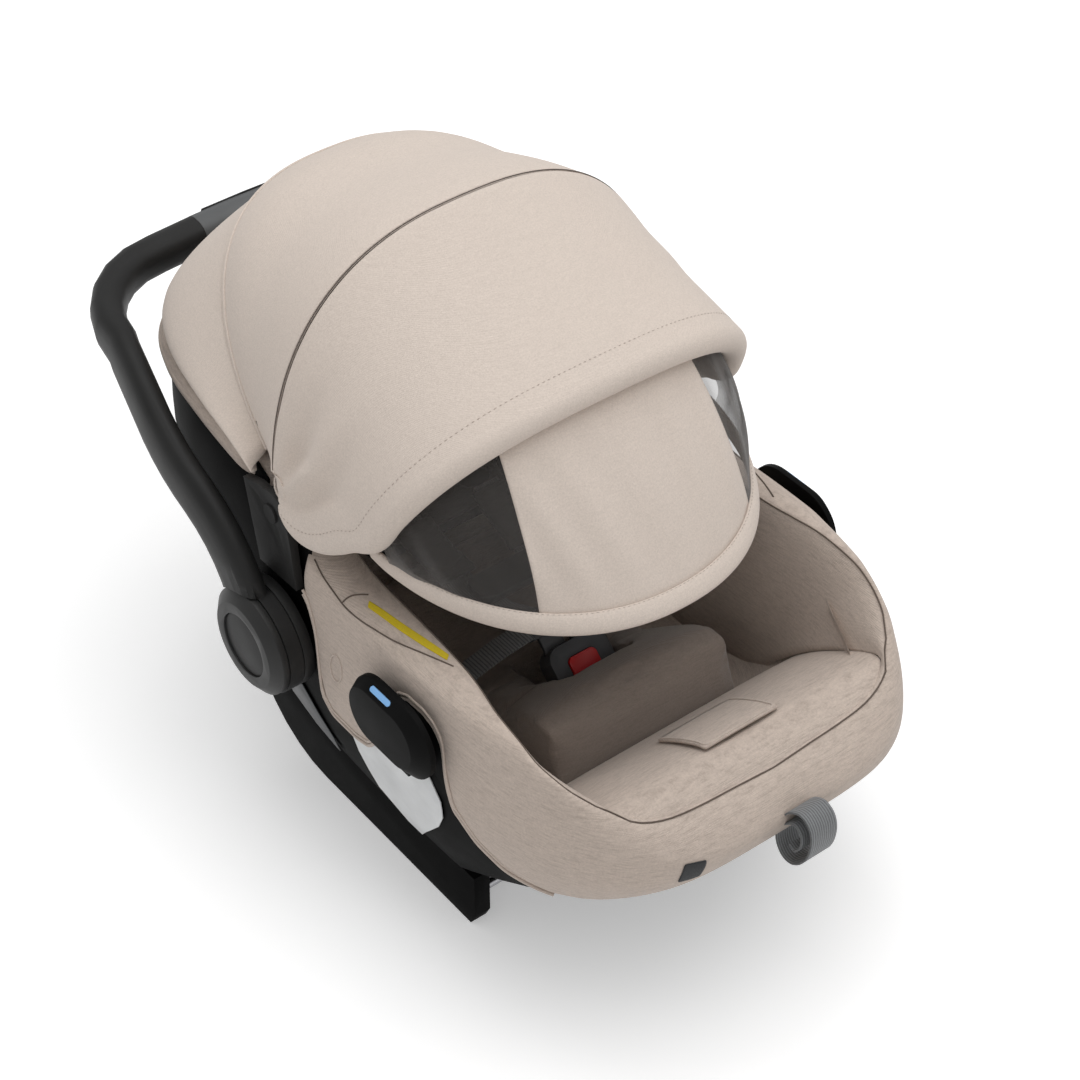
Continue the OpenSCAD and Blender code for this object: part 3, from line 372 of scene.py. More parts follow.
def plastic(name, colour, rough=0.42, grain=0.0006, relief=0.18, wear=0.0, shine=0.45):
    """A moulded plastic: fine grain, slow change in gloss and slightly paler rubbed edges."""
    mat, tree, shader, place = new_material(name, rough, colour)
    slow = noise(tree, place, 14, 4)
    near = tuple(c * 0.85 for c in colour)
    far = tuple(min(1, c * 1.2 + 0.002) for c in colour)
    base = ramp(tree, slow, [(0.3, near), (0.7, far)])
    if wear:
        edge = tree.nodes.new("ShaderNodeNewGeometry").outputs["Pointiness"]
        rubbed = ramp(tree, edge, [(0.52, (0, 0, 0)), (0.62, (1, 1, 1))])
        base = blend_colours(tree, maths(tree, "MULTIPLY", rubbed, wear), base,
                             tuple(min(1, c * 1.6 + 0.02) for c in colour))
    tree.links.new(base, shader.inputs["Base Color"])
    gloss = tree.nodes.new("ShaderNodeMapRange")
    gloss.inputs["To Min"].default_value = rough - 0.05
    gloss.inputs["To Max"].default_value = rough + 0.07
    tree.links.new(noise(tree, place, 40, 5), gloss.inputs["Value"])
    tree.links.new(gloss.outputs[0], shader.inputs["Roughness"])
    bump(tree, shader, noise(tree, place, 0.6 / grain, 2), relief, grain * 0.3)
    shader.inputs["Specular IOR Level"].default_value = shine
    return mat


print("plastic finish ready")

# %% [markdown]
# Now the finishes by name. The canopy is a plain weave, and the seat is a heathered one.
# The colours are linear values, which look lighter on screen than the numbers suggest.
# Each is one call with its own colour, so the cloths of the seat stay related.

# %% The finishes of this seat
CANOPY_CLOTH = cloth("canopy_plain_weave", (0.65, 0.565, 0.50), 0.04, 0.08, 0.0008, 0.12, 0.3)
SEAT_CLOTH = cloth("seat_heather_weave", (0.53, 0.445, 0.385), 0.06, 0.42, 0.0010, 0.15, 0.45)
PIPING_CLOTH = cloth("piping_weave", (0.54, 0.455, 0.395), 0.08, 0.30, 0.0009, 0.25, 0.5)
INSERT_CLOTH = cloth("insert_knit", (0.25, 0.205, 0.175), 0.12, 0.25, 0.0010, 0.3, 0.5)
CHARCOAL_CLOTH = cloth("charcoal_knit", (0.055, 0.05, 0.047), 0.2, 0.2, 0.0010, 0.3, 0.5)
THREAD = cloth("sewing_thread", (0.42, 0.355, 0.31), 0.1, 0.0, 0.0004, 0.2, 0.3)
YELLOW_CLOTH = cloth("yellow_ribbon", (0.62, 0.47, 0.02), 0.08, 0.1, 0.0006, 0.1, 0.3)
DARK_TAG = cloth("dark_woven_tag", (0.035, 0.036, 0.038), 0.15, 0.1, 0.0005, 0.15, 0.4)
BLACK = plastic("satin_black_plastic", (0.010, 0.0098, 0.0096), 0.5, wear=0.2, shine=0.22)
CAP_BLACK = plastic("hub_cap_plastic", (0.014, 0.0138, 0.0135), 0.46, wear=0.3, shine=0.3)
SHELL_BLACK = plastic("grained_shell_plastic", (0.004, 0.004, 0.004), 0.62, 0.0012, 0.25, shine=0.04)
POD_BLACK = plastic("guide_plastic", (0.003, 0.003, 0.003), 0.52, shine=0.05)
DARK_GREY = plastic("dark_grey_plastic", (0.045, 0.046, 0.049), 0.46, wear=0.4)
GRIP_GREY = plastic("grip_grey_plastic", (0.07, 0.073, 0.075), 0.5, wear=0.3)
RED = plastic("red_button_plastic", (0.55, 0.003, 0.004), 0.36, 0.0008, 0.08)
BLUE = plastic("pale_blue_plastic", (0.20, 0.42, 0.74), 0.35, 0.0008, 0.08)
LABEL_WHITE = plastic("bare_white_film", (0.70, 0.71, 0.715), 0.38, 0.001, 0.06)
STEEL = plastic("bright_steel", (0.5, 0.5, 0.52), 0.28, 0.0008, 0.1)
STEEL.node_tree.nodes["Principled BSDF"].inputs["Metallic"].default_value = 1.0
RUBBER = plastic("matt_rubber", (0.02, 0.02, 0.02), 0.75, 0.0009, 0.3)
FOAM = plastic("moulded_foam", (0.03, 0.03, 0.032), 0.85, 0.004, 0.5)
print("finishes:", len(bpy.data.materials))

# %% [markdown]
# Belt webbing has ribs along its length, so its waves run one way only. The visor's sides
# are an open mesh: seen square on, the holes let most of the seat show, and at a grazing
# angle the threads close up. Modelling each thread would cost more than the rest of the
# seat, so Layer Weight drives the alpha to give just that.

# %% Webbing and see-through mesh


def webbing(name, colour, period=0.0021):
    """Ribbed belt webbing: ribs run along the belt, with a fine cross weave between them."""
    mat, tree, shader, place = new_material(name, 0.7, colour)
    ribs = waves(tree, place, 0.314 / period, "X")
    cross = noise(tree, scaled(tree, place, (0.6, 1.4, 1.4)), 900, 2)
    shade = ramp(tree, maths(tree, "ADD", ribs, maths(tree, "MULTIPLY", cross, 0.5)),
                 [(0.2, tuple(c * 0.55 for c in colour)), (0.9, tuple(c * 1.25 for c in colour))])
    tree.links.new(shade, shader.inputs["Base Color"])
    bump(tree, shader, maths(tree, "ADD", ribs, cross), 0.6, 0.0004)
    shader.inputs["Sheen Weight"].default_value = 0.15
    shader.inputs["Specular IOR Level"].default_value = 0.3
    return mat


WEBBING = webbing("grey_belt_webbing", (0.17, 0.175, 0.18))
MESH_CLOTH = cloth("open_dark_mesh", (0.115, 0.106, 0.100), 0.15, 0.0, 0.0011, 0.2, 0.6)
mesh_tree = MESH_CLOTH.node_tree
turned = mesh_tree.nodes.new("ShaderNodeLayerWeight")
MESH_OPEN, MESH_CLOSED = (0.38, 0.38, 0.38), (0.97, 0.97, 0.97)
cover_share = ramp(mesh_tree, turned.outputs["Facing"], [(0.25, MESH_OPEN), (0.85, MESH_CLOSED)])
mesh_tree.links.new(cover_share, mesh_tree.nodes["Principled BSDF"].inputs["Alpha"])
print("webbing and mesh ready")

# %% [markdown]
# ## Points in the seat's own measures
# The seat is easier to think about in millimetres: x to the side, y towards the head end
# and z up, with the canopy's axis at y 75, z 318. `point` turns such a measure into metres
# in the shared frame, whose middle lies 22 mm further towards the head end. A few points
# are enough to draw a belt or a seam, since `through` joins them with a smooth line.

# %% Points
SHIFT = -22.0
AXIS_Y, AXIS_Z = 75.0, 318.0


def point(x, y, z):
    """A place on the seat in millimetres, as metres in the shared frame."""
    return Vector((x, y + SHIFT, z)) * MM


def through(points, per=8, closed=False):
    """A smooth line that passes through the given points."""
    points = [Vector(p) for p in points]
    count = len(points)
    line = []
    spans = count if closed else count - 1
    for i in range(spans):
        if closed:
            a, b, c, d = (points[(i + k) % count] for k in (-1, 0, 1, 2))
        else:
            a, b = points[max(i - 1, 0)], points[i]
            c, d = points[i + 1], points[min(i + 2, count - 1)]
        for k in range(per):
            t = k / per
            line.append(0.5 * (2 * b + (c - a) * t + (2 * a - 5 * b + 4 * c - d) * t * t
                               + (3 * b - a - 3 * c + d) * t ** 3))
    if not closed:
        line.append(points[-1])
    return line


print("canopy axis at", tuple(round(c, 3) for c in point(0, AXIS_Y, AXIS_Z)))

# %% [markdown]
# A cord is a curve with a bevel depth, turned into a mesh: it stays round on tight bends,
# where a row of cylinders would show gaps. Stitches are short separate threads of a few
# faces each, because there are hundreds of them.

# %% Tubes and stitches


def tube(name, line, radius, closed=False, sides=3):
    """A round cord along a line, as a closed mesh."""
    curve = bpy.data.curves.new(name, "CURVE")
    curve.dimensions = "3D"
    curve.bevel_depth = radius
    curve.bevel_resolution = sides
    curve.use_fill_caps = True
    spline = curve.splines.new("POLY")
    spline.points.add(len(line) - 1)
    for place, p in zip(spline.points, line):
        place.co = (*p, 1)
    spline.use_cyclic_u = closed
    obj = bpy.data.objects.new(name, curve)
    scene.collection.objects.link(obj)
    only(obj)
    bpy.ops.object.convert(target="MESH")
    bpy.ops.object.shade_smooth()
    return obj


def stitches(name, line, length=2.6, gap=1.5, radius=0.35):
    """A row of short thread stitches along a line."""
    steps = [0.0]
    for a, b in zip(line, line[1:]):
        steps.append(steps[-1] + (b - a).length)

    def at(s):
        for k in range(1, len(line)):
            if steps[k] >= s:
                share = (s - steps[k - 1]) / max(steps[k] - steps[k - 1], 1e-9)
                return line[k - 1].lerp(line[k], share)
        return line[-1]

    verts, faces = [], []
    s = 0.0
    up = Vector((0.13, 0.21, 0.97))
    while s + length * MM < steps[-1]:
        a, b = at(s), at(s + length * MM)
        along = (b - a).normalized()
        side = along.cross(up).normalized() * radius * MM
        rise = along.cross(side).normalized() * radius * MM
        middle = (a + b) / 2
        base = len(verts)
        verts += [a, *(middle + q for q in (side, rise, -side, -rise)), b]
        for k in range(4):
            one, two = base + 1 + k, base + 1 + (k + 1) % 4
            faces += [(base, one, two), (base + 5, two, one)]
        s += (length + gap) * MM
    mesh = bpy.data.meshes.new(name)
    mesh.from_pydata([tuple(v) for v in verts], [], faces)
    obj = bpy.data.objects.new(name, mesh)
    scene.collection.objects.link(obj)
    edit(obj, lambda: bpy.ops.mesh.normals_make_consistent(inside=False))
    return obj


print("cords and stitches ready")

# %% [markdown]
# ## Camera, floor and light
# The camera looks down from the front left. The floor is white to the camera, and keeps
# the seat's soft shadow. A large lamp hangs above the foot end and a smaller one above the
# head end, and a pale sky fills the shadows, so colours come out about as they are written.
# Large lamps suit cloth, since small ones would draw a hard shadow beside every fold.

# %% Camera
bpy.ops.object.camera_add(location=(-0.9424, -1.2226 + SHIFT * MM, 1.5849))
camera = bpy.context.object
camera.name = "picture_camera"
camera.matrix_world = Matrix.Translation(camera.location) @ Matrix((
    (0.7883, 0.4036, -0.4643), (-0.6153, 0.5172, -0.5950), (0.0, 0.7547, 0.6561))).to_4x4()
camera.data.sensor_width = 36
camera.data.lens = 86.67
camera.data.clip_end = 30
scene.camera = camera
print("camera at", tuple(round(c, 3) for c in camera.matrix_world.translation))

# %% Lamp helper and floor


def lamp(name, place, target, size, power):
    """A square soft lamp that points at a target."""
    bpy.ops.object.light_add(type="AREA", location=place)
    light = bpy.context.object
    light.name = name
    light.data.size = size
    light.data.energy = power
    light.rotation_euler = (Vector(target) - Vector(place)).to_track_quat("-Z", "Y").to_euler()
    return light


bpy.ops.mesh.primitive_plane_add(size=24, location=(0, 0, 0))
floor = bpy.context.object
floor.name = "studio_floor"
floor_mat, tree, shader, place = new_material("floor_paint", 0.9, (0.9, 0.9, 0.9))
shader.inputs["Base Color"].default_value = (0.93, 0.93, 0.93, 1)
shader.inputs["Specular IOR Level"].default_value = 0.0
rays = tree.nodes.new("ShaderNodeLightPath")
seen = maths(tree, "MAXIMUM", rays.outputs["Is Camera Ray"],
             maths(tree, "MAXIMUM", rays.outputs["Is Glossy Ray"], rays.outputs["Is Transmission Ray"]))
shader.inputs["Emission Color"].default_value = (1, 1, 1, 1)
tree.links.new(maths(tree, "MULTIPLY", seen, 0.30), shader.inputs["Emission Strength"])
floor.data.materials.append(floor_mat)
print("floor ready")

# %% Sky and view
world = bpy.data.worlds.new("pale_sky")
scene.world = world
world.use_nodes = True
sky = world.node_tree
back = sky.nodes["Background"]
path = sky.nodes.new("ShaderNodeLightPath")
seen = maths(sky, "MAXIMUM", path.outputs["Is Camera Ray"], maths(
    sky, "MAXIMUM", maths(sky, "MULTIPLY", path.outputs["Is Glossy Ray"], 0.35),
    path.outputs["Is Transmission Ray"]))
strength = sky.nodes.new("ShaderNodeMapRange")
strength.inputs["To Min"].default_value = 0.60
strength.inputs["To Max"].default_value = 1.0
sky.links.new(seen, strength.inputs["Value"])
sky.links.new(strength.outputs[0], back.inputs["Strength"])
back.inputs["Color"].default_value = (1, 1, 1, 1)
lamp("key_lamp", (0.45, -0.75, 3.1), (0, 0, 0.2), 2.6, 36)
lamp("top_lamp", (0.1, 0.9, 2.9), (0, 0, 0.2), 1.6, 14)
scene.view_settings.view_transform = "Standard"
print("sky and lamps ready")

# %% [markdown]
# ## Hard parts
# Each hard part is a merged copy of its CAD node with softened edges. Steel pins, lock
# discs, dock bars and rubber pads sit inside or underneath, so they keep their CAD mesh
# and only get their finish. The rear and middle bows are drawn in a little, so that they
# stay under the cloth that is stretched over them. New shapes would be freer, but these
# parts turn and slide in each other, so the true ones are used.

# %% Plain hard parts
HARD = {
    "seat_shell": (SHELL_BLACK, "shell", 1.2, 34),
    "belt_guide_left": (POD_BLACK, "black", 0.8, 20),
    "belt_guide_right": (POD_BLACK, "black", 0.8, 20),
    "guide_markers": (BLUE, "blue", 0.4, 30),
    "hub_base_left": (BLACK, "black", 1.0, 30),
    "hub_base_right": (BLACK, "black", 1.0, 30),
    "hub_cap_left": (CAP_BLACK, "cap", 0.5, 30),
    "hub_cap_right": (CAP_BLACK, "cap", 0.5, 30),
    "handle_button_left": (BLACK, "black", 0.5, 30),
    "handle_button_right": (BLACK, "black", 0.5, 30),
    "handle_frame": (BLACK, "black", 0.0, 44),
    "handle_grip": (GRIP_GREY, "grip", 0.0, 44),
    "grip_strip": (BLACK, "black", 0.6, 40),
    "canopy_mount_left": (BLACK, "black", 1.0, 30),
    "canopy_mount_right": (BLACK, "black", 1.0, 30),
    "rear_bow": (BLACK, "black", 0.0, 50),
    "mid_bow": (BLACK, "black", 0.0, 50),
    "headrest_shell": (BLACK, "shell", 1.0, 30),
    "chest_clip": (DARK_GREY, "dark", 0.8, 30),
    "buckle_body": (DARK_GREY, "dark", 1.0, 30),
    "buckle_button": (RED, "red", 0.6, 30),
    "buckle_tongues": (DARK_GREY, "dark", 0.6, 30),
    "adjuster_housing": (DARK_GREY, "dark", 0.6, 30),
    "adjuster_button": (BLACK, "black", 0.5, 30),
    "side_plates": (LABEL_WHITE, "plate", 0.2, 30),
    "side_vents": (DARK_GREY, "dark", 0.4, 30),
}
SUNK_BOWS = {"rear_bow": 0.92, "mid_bow": 0.985}
for node, (finish, slot_name, width, angle) in HARD.items():
    piece = soften(copy_of(node, node + "_shown"), width * MM, angle)
    if node in SUNK_BOWS:
        for vertex in piece.data.vertices:
            vertex.co.x *= SUNK_BOWS[node]
            vertex.co.z -= 0.012 * max(0.0, vertex.co.z - AXIS_Z * MM)
    dress(piece, body_of(node), finish, slot_name, node)
for node, finish in (("rest_pads", RUBBER), ("dock_bars", STEEL), ("hub_pins", STEEL),
                     ("lock_gear_left", STEEL), ("lock_gear_right", STEEL),
                     ("canopy_pins", BLACK)):
    obj = frame["nodes"][node]
    obj.data.materials.clear()
    obj.data.materials.append(finish)
print("hard parts:", len(HARD))

# %% [markdown]
# ## Padded parts
# The insert and the headrest are foam under knitted cloth, so their edges are round and
# their faces crowned, which a bevel alone can't give. Each row gives the finish, the size
# of the squares, the rounds of smoothing, the depth of the shrinking before the swelling,
# and the cap on the swelling.

# %% Pads
PADS = {
    "infant_insert": (INSERT_CLOTH, "taupe", 4.0, 3, 1.5, 4),
    "side_bolsters": (INSERT_CLOTH, "taupe", 4.0, 3, 1.5, 4),
    "insert_crown": (INSERT_CLOTH, "taupe", 4.0, 3, 1.5, 3),
    "head_pillow": (INSERT_CLOTH, "taupe", 3.5, 3, 1.5, 4),
    "headrest_pad": (CHARCOAL_CLOTH, "charcoal", 4.0, 3, 1.0, 3),
    "shoulder_pads": (CHARCOAL_CLOTH, "charcoal", 2.2, 2, 0.5, 2),
}
for node, (finish, slot_name, voxel, rounds, depth, cap) in PADS.items():
    piece = even(copy_of(node, node + "_shown"), voxel * MM, rounds)
    shrink(piece, depth * MM)
    swell(piece, cap * MM)
    smooth(piece)
    dress(piece, body_of(node), finish, slot_name, node)
    print(node, "faces", len(piece.data.polygons))

# %% [markdown]
# ## Webbing
# The belts follow their routes in the CAD frame. They are only 2 mm thick, and a remesh
# would erase them, so they are merged and their edges are softened a little.

# %% Belts
BELTS = ("shoulder_straps", "hip_straps", "crotch_strap")
for node in BELTS:
    piece = soften(copy_of(node, node + "_shown"), 0.3 * MM, 40)
    dress(piece, body_of(node), WEBBING, "webbing", node)
print("belts:", len(BELTS))

# %% [markdown]
# ## Canopy and visor
# The canopy is sewn from two curved sheets over three bows. The front sheet runs on round
# the padded roll at its edge, so sheet and roll are one continuous surface here too.
# Each sheet is a grid whose rows are set along the bows' own curves, then given the
# thickness of cloth. A bow is a rounded arch, which a power of sine and cosine draws.
# Cloth could be draped over the bows by a simulation, but a stretched canopy hardly sags,
# and written rows give the same sheet each time.

# %% Lines of the bows
ROLL_Y, ROLL_Z = -13.0, 320.0
BOW_FROM, BOW_SPAN = 7, 166


def power(value, n):
    """Keeps the sign and makes a curve squarer, as on a rounded arch."""
    return math.copysign(abs(value) ** (2 / n), value)


def arch(u, reach, half, n, foot_y, foot_z, angle):
    """A point of an arch that leans forward by angle; u runs from the right side to the left."""
    a = math.radians(angle)
    h = reach * power(math.sin(math.radians(u)), n)
    return Vector((half * power(math.cos(math.radians(u)), n),
                   foot_y - h * math.sin(a), foot_z + h * math.cos(a)))


def bow_point(u, reach, angle, half=183.0):
    """A point over a bow, which turns about the canopy's axis."""
    return arch(u, reach, half, 2.5, AXIS_Y, AXIS_Z, angle)


def roll_point(u, reach=150.0, half=168.0):
    """A point of the loop that carries the canopy's front roll."""
    return arch(u, reach, half, 2.8, ROLL_Y, ROLL_Z, 29)


print("crown of the middle bow:", tuple(round(c) for c in bow_point(90, 211, 0)))

# %% [markdown]
# A sheet starts as a flat grid, and each of its points is set on a row of places. One
# subdivision smooths it, and Solidify gives it two sides, so it never looks paper-thin. Cloth
# has a flat size from which it was cut.

# %% Sheets of cloth


def grid_sheet(name, rows, thickness, levels=1, outside=(0, 30, 330)):
    """Sets a grid's points along rows of places and makes it a sheet of cloth."""
    bpy.ops.object.select_all(action="DESELECT")
    bpy.ops.mesh.primitive_grid_add(x_subdivisions=len(rows[0]) - 1, y_subdivisions=len(rows) - 1)
    obj = bpy.context.object
    obj.name = name
    flat = [point(*p) for row in rows for p in row]
    for vertex, place in zip(obj.data.vertices, flat):
        vertex.co = place
    middle = obj.data.polygons[len(obj.data.polygons) // 2]
    if middle.normal.dot(middle.center - point(*outside)) < 0:
        edit(obj, bpy.ops.mesh.flip_normals)
    if levels:
        apply(obj, "SUBSURF", levels=levels, render_levels=levels)
    if thickness:
        apply(obj, "SOLIDIFY", thickness=thickness * MM, offset=-1.0)
    only(obj)
    bpy.ops.object.shade_smooth()
    return obj


def join_ends(obj):
    """Merges the first and last row of a sheet that closes on itself, and turns it outwards."""
    edit(obj, lambda: bpy.ops.mesh.remove_doubles(threshold=1e-5),
         lambda: bpy.ops.mesh.normals_make_consistent(inside=False))


def line_length(line):
    """The length of a line of places."""
    return sum((b - a).length for a, b in zip(line, line[1:]))


def declare(obj, rows):
    """Prints the flat size of a sheet of cloth, as its rows of places give it."""
    width = max(line_length(row) for row in rows) * MM
    length = max(line_length(column) for column in zip(*rows)) * MM
    area = 0.0
    for one, two in zip(rows, rows[1:]):
        for a, b, c, d in zip(one, one[1:], two[1:], two):
            area += ((b - a).cross(d - a).length + (b - c).cross(d - c).length) / 2 * MM * MM
    area = min(max(area, 0.3 * width * length), width * length)
    print(obj.name, "flat size", round(width * 1000), "x", round(length * 1000), "mm")


def wrapped(centres, towards, wide, deep, angles, inside=(0, 40, 330)):
    """Rows round a roll: it starts on the side that faces towards, and goes over its outside."""
    rows = [[] for _ in angles]
    for i, c in enumerate(centres):
        along = (centres[min(i + 1, len(centres) - 1)] - centres[max(i - 1, 0)]).normalized()
        back = towards[i] - c
        back = (back - along * back.dot(along)).normalized()
        out = along.cross(back).normalized()
        if out.dot(c - Vector((c.x * 0.2, inside[1], inside[2]))) < 0:
            out = -out
        for row, angle in zip(rows, angles):
            a = math.radians(angle)
            row.append(c + back * wide * math.cos(a) + out * deep * math.sin(a))
    return rows


def mirrored(points):
    """The points, then the same points on the other side in turn."""
    return list(points) + [Vector((-p.x, p.y, p.z)) for p in reversed(points[:-1])]


print("sheet helpers ready")

# %% [markdown]
# The rear sheet is fixed to the seat at its rear seam and to the middle bow. Each row gives
# the angle behind the bow and the reach there.
# Rows stand close together beside the seam, where the cloth turns sharply, and far apart
# where it is taut.

# %% Rear sheet of the canopy
BACK_ROWS = [(-55, 237), (-53, 240), (-51.6, 241.5), (-50.4, 241.8), (-48, 239), (-44, 234.5),
             (-40, 228.5), (-36, 220.5), (-32, 213), (-28, 208), (-24, 205.8), (-19, 205),
             (-14, 205.3), (-9, 206.2), (-4.5, 207.6), (-1.5, 208.6), (-0.3, 207.6)]
SEAM_ANGLE, SEAM_REACH = -51.0, 241.6


def back_half(angle):
    """Half width of the canopy's rear, which narrows towards the head end."""
    return 183 - 18 * min(1.0, -angle / 51)


rows = []
for angle, reach in BACK_ROWS:
    half = back_half(angle)
    rows.append([bow_point(BOW_FROM + BOW_SPAN * i / 60, reach, angle, half) for i in range(61)])
rear_cloth = grid_sheet("canopy_rear_cloth", rows, 2.0)
rear_cloth.data.materials.append(CANOPY_CLOTH)
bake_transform(rear_cloth)
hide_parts("rear_panel")
declare(rear_cloth, rows)

# %% [markdown]
# The front sheet has two soft hollows on each side, where the cloth hangs between the
# middle bow and the roll. Its rows fan out towards the corner by the bracket. The hollows
# could be sculpted, but bell-shaped curves along the rows keep them soft and repeatable.

# %% Front sheet and roll
corner = [Vector(p) for p in ((-174, 66, 350), (-177, 60, 333), (-178, 44, 323),
                              (-177, 23, 325), (-174, 4, 334), (-170, -14, 347))]
low_u = [173, 172, 170.5, 168.5, 166, 163]
roll_u = [170, 160, 150, 140, 130, 120, 110, 100, 90]
seam_u = [160, 152, 144, 135, 126, 117, 108, 99, 90]
roll_line = mirrored(corner + [roll_point(u) for u in roll_u])
seam_line = mirrored([bow_point(u, 211.2, 0.2) for u in low_u + seam_u])
COLUMNS = 97
roll_centres = through(roll_line, 8)
seam_places = through(seam_line, 8)
picks = [round(i * (len(roll_centres) - 1) / (COLUMNS - 1)) for i in range(COLUMNS)]
roll_centres = [roll_centres[i] for i in picks]
seam_places = [seam_places[i] for i in picks]
round_rows = wrapped(roll_centres, seam_places, 12.0, 12.0, list(range(74, 331, 16)))
print("places along the roll:", len(roll_centres), "rows round it:", len(round_rows))

# %% Hollows of the front sheet


def hollow(f, k):
    """How far the cloth sinks at share f from seam to roll and k from side to side."""
    side = min(k, 1 - k) * 2
    low = math.exp(-((side - 0.36) / 0.17) ** 2)
    far = 0.75 if k > 0.5 else 1.0
    first = math.exp(-((f - 0.27) / 0.10) ** 2) - 0.6 * math.exp(-((f - 0.44) / 0.08) ** 2)
    second = math.exp(-((f - 0.62) / 0.09) ** 2)
    return (10.5 * first + 8.5 * second) * low * far + 2.2 * math.sin(math.pi * f) * (1 - low)


rows = []
FRONT_SHARES = [0, 0.012, 0.04, 0.1, 0.16, 0.22, 0.28, 0.34, 0.4, 0.46, 0.52, 0.58, 0.64, 0.7,
                0.76, 0.84, 0.92]
for f in FRONT_SHARES:
    row = []
    for i in range(COLUMNS):
        p = seam_places[i].lerp(round_rows[0][i], f)
        out = (p - Vector((0, 65, 268))).normalized()
        depth = hollow(f, i / (COLUMNS - 1)) + (2.6 if f == 0 else 0)
        row.append(p - out * depth)
    rows.append(row)
front_cloth = grid_sheet("canopy_front_cloth", rows + round_rows, 1.6)
front_cloth.data.materials.append(CANOPY_CLOTH)
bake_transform(front_cloth)
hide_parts("front_panel", "front_roll")
declare(front_cloth, rows + round_rows)

# %% [markdown]
# The visor drops from inside the roll. A solid middle sheet hangs between two see-through
# side meshes, and a wire in a wide hem holds the lower edge. All three run from the front
# bow to the wire. The see-through sides are single sheets, since two layers of holes would
# look closed.

# %% Rows of the visor
VISOR_Y, VISOR_Z = -4.0, 320.0
ROLL_INSIDE = (141, 159)
WIRE_INSIDE = (178, 154)


def hem_point(u, reach=180.0, half=156.0):
    """A point of the visor's wire, which turns about its own pivots inside the roll."""
    return arch(u, reach, half, 2.15, VISOR_Y, VISOR_Z, 93)


def parting(first, f):
    """Where a seam between mesh and cloth runs at share f: it spreads towards the wire."""
    return first + (13.0 * f if first > 90 else -13.0 * f) if 40 < first < 140 else first


def visor_rows(first, last, count, shares):
    """Rows of the visor's cloth between the roll and the wire, from side share first to last."""
    rows = []
    for f in shares:
        row = []
        for i in range(count):
            a, b = parting(first, f), parting(last, f)
            u = a + (b - a) * i / (count - 1)
            high, low = roll_point(u, *ROLL_INSIDE), hem_point(u, *WIRE_INSIDE) + Vector((0, 0, 3))
            p = high.lerp(low, f)
            out = (p - Vector((p.x * 0.4, 40, 300))).normalized()
            wave = 1.5 * math.sin(u * 0.5 + 2.6 * f) * math.sin(math.pi * f)
            row.append(p + out * (7 * math.sin(math.pi * f) + wave))
        rows.append(row)
    return rows


print("front edge of the wire:", tuple(round(c) for c in hem_point(90)))

# %% Middle sheet and side meshes
SPLIT = 64.0
shares = [i / 14 for i in range(15)]
rows = visor_rows(SPLIT, 180 - SPLIT, 33, shares)
middle_cloth = grid_sheet("visor_middle_cloth", rows, 1.4)
declare(middle_cloth, rows)
middle_cloth.data.materials.append(CANOPY_CLOTH)
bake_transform(middle_cloth)
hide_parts("visor_panel")
for side, (first, last) in (("right", (9, SPLIT)), ("left", (180 - SPLIT, 171))):
    rows = visor_rows(first, last, 33, shares)
    obj = grid_sheet("visor_" + side + "_mesh", rows, 0.0)
    declare(obj, rows)
    obj.data.materials.append(MESH_CLOTH)
    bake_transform(obj)
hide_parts("visor_mesh")

# %% Hem with the wire
HEM_US = [3 + 174 * i / 80 for i in range(81)]
hem_line = [hem_point(u) + Vector((0, 0, 5)) for u in HEM_US]
hem_up = [roll_point(u, *ROLL_INSIDE) for u in HEM_US]
hem_rows = wrapped(hem_line, hem_up, 8.5, 3.2, list(range(0, 361, 24)))
visor_hem = grid_sheet("visor_hem", hem_rows, 0.0)
join_ends(visor_hem)
visor_hem.data.materials.append(CANOPY_CLOTH)
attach(visor_hem, "visor")
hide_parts("visor_wire")
print("visor sheets ready")

# %% [markdown]
# The seams: a dark zip runs over the middle bow beside a narrow edging, two cords of piping
# close the rear seam, and lines of stitches hold the front roll and the visor's hem. Lines
# in the material would be less work, but a small cord catches light and casts a shadow.

# %% Seams of the canopy


def close_to(line, targets, lift=0.0):
    """Moves each point of a line onto the nearest place of the target pieces."""
    found = []
    for p in line:
        best = None
        for obj in targets:
            hit, place, normal, _ = obj.closest_point_on_mesh(p)
            if hit and (best is None or (place - p).length < (best[0] - p).length):
                best = (place, normal)
        found.append(best[0] + best[1] * lift)
    return found


ZIP_BROWN = cloth("zip_tape", (0.10, 0.08, 0.07), 0.1, 0.0, 0.0005, 0.1, 0.3)
zip_line = [point(*bow_point(24 + 149 * i / 90, 209.75, 0)) for i in range(91)]
dress(tube("canopy_zip", zip_line, 0.38 * MM), "canopy_middle", ZIP_BROWN, "black")
BOW_US = [BOW_FROM + BOW_SPAN * i / 90 for i in range(91)]
zip_edge = [point(*bow_point(u, 208.3, -0.8)) for u in BOW_US]
dress(tube("canopy_zip_edge", zip_edge, 0.9 * MM), "canopy_middle", CANOPY_CLOTH, "canopy")
for k, angle in enumerate((SEAM_ANGLE - 0.5, SEAM_ANGLE + 0.5)):
    cord_line = [point(*bow_point(u, SEAM_REACH, angle, 165.2)) for u in BOW_US]
    cord_line = close_to(cord_line, [rear_cloth], 0.4 * MM)
    dress(tube("rear_piping_" + str(k + 1), cord_line, 1.2 * MM), "seat", CANOPY_CLOTH, "canopy")
hem = [point(*seam_places[i].lerp(round_rows[0][i], 0.93)) for i in range(4, COLUMNS - 4)]
hem_stitches = stitches("front_hem_stitches", close_to(hem, [front_cloth], 0.15 * MM), 3.0, 1.6, 0.4)
hem_stitches.data.materials.append(THREAD)
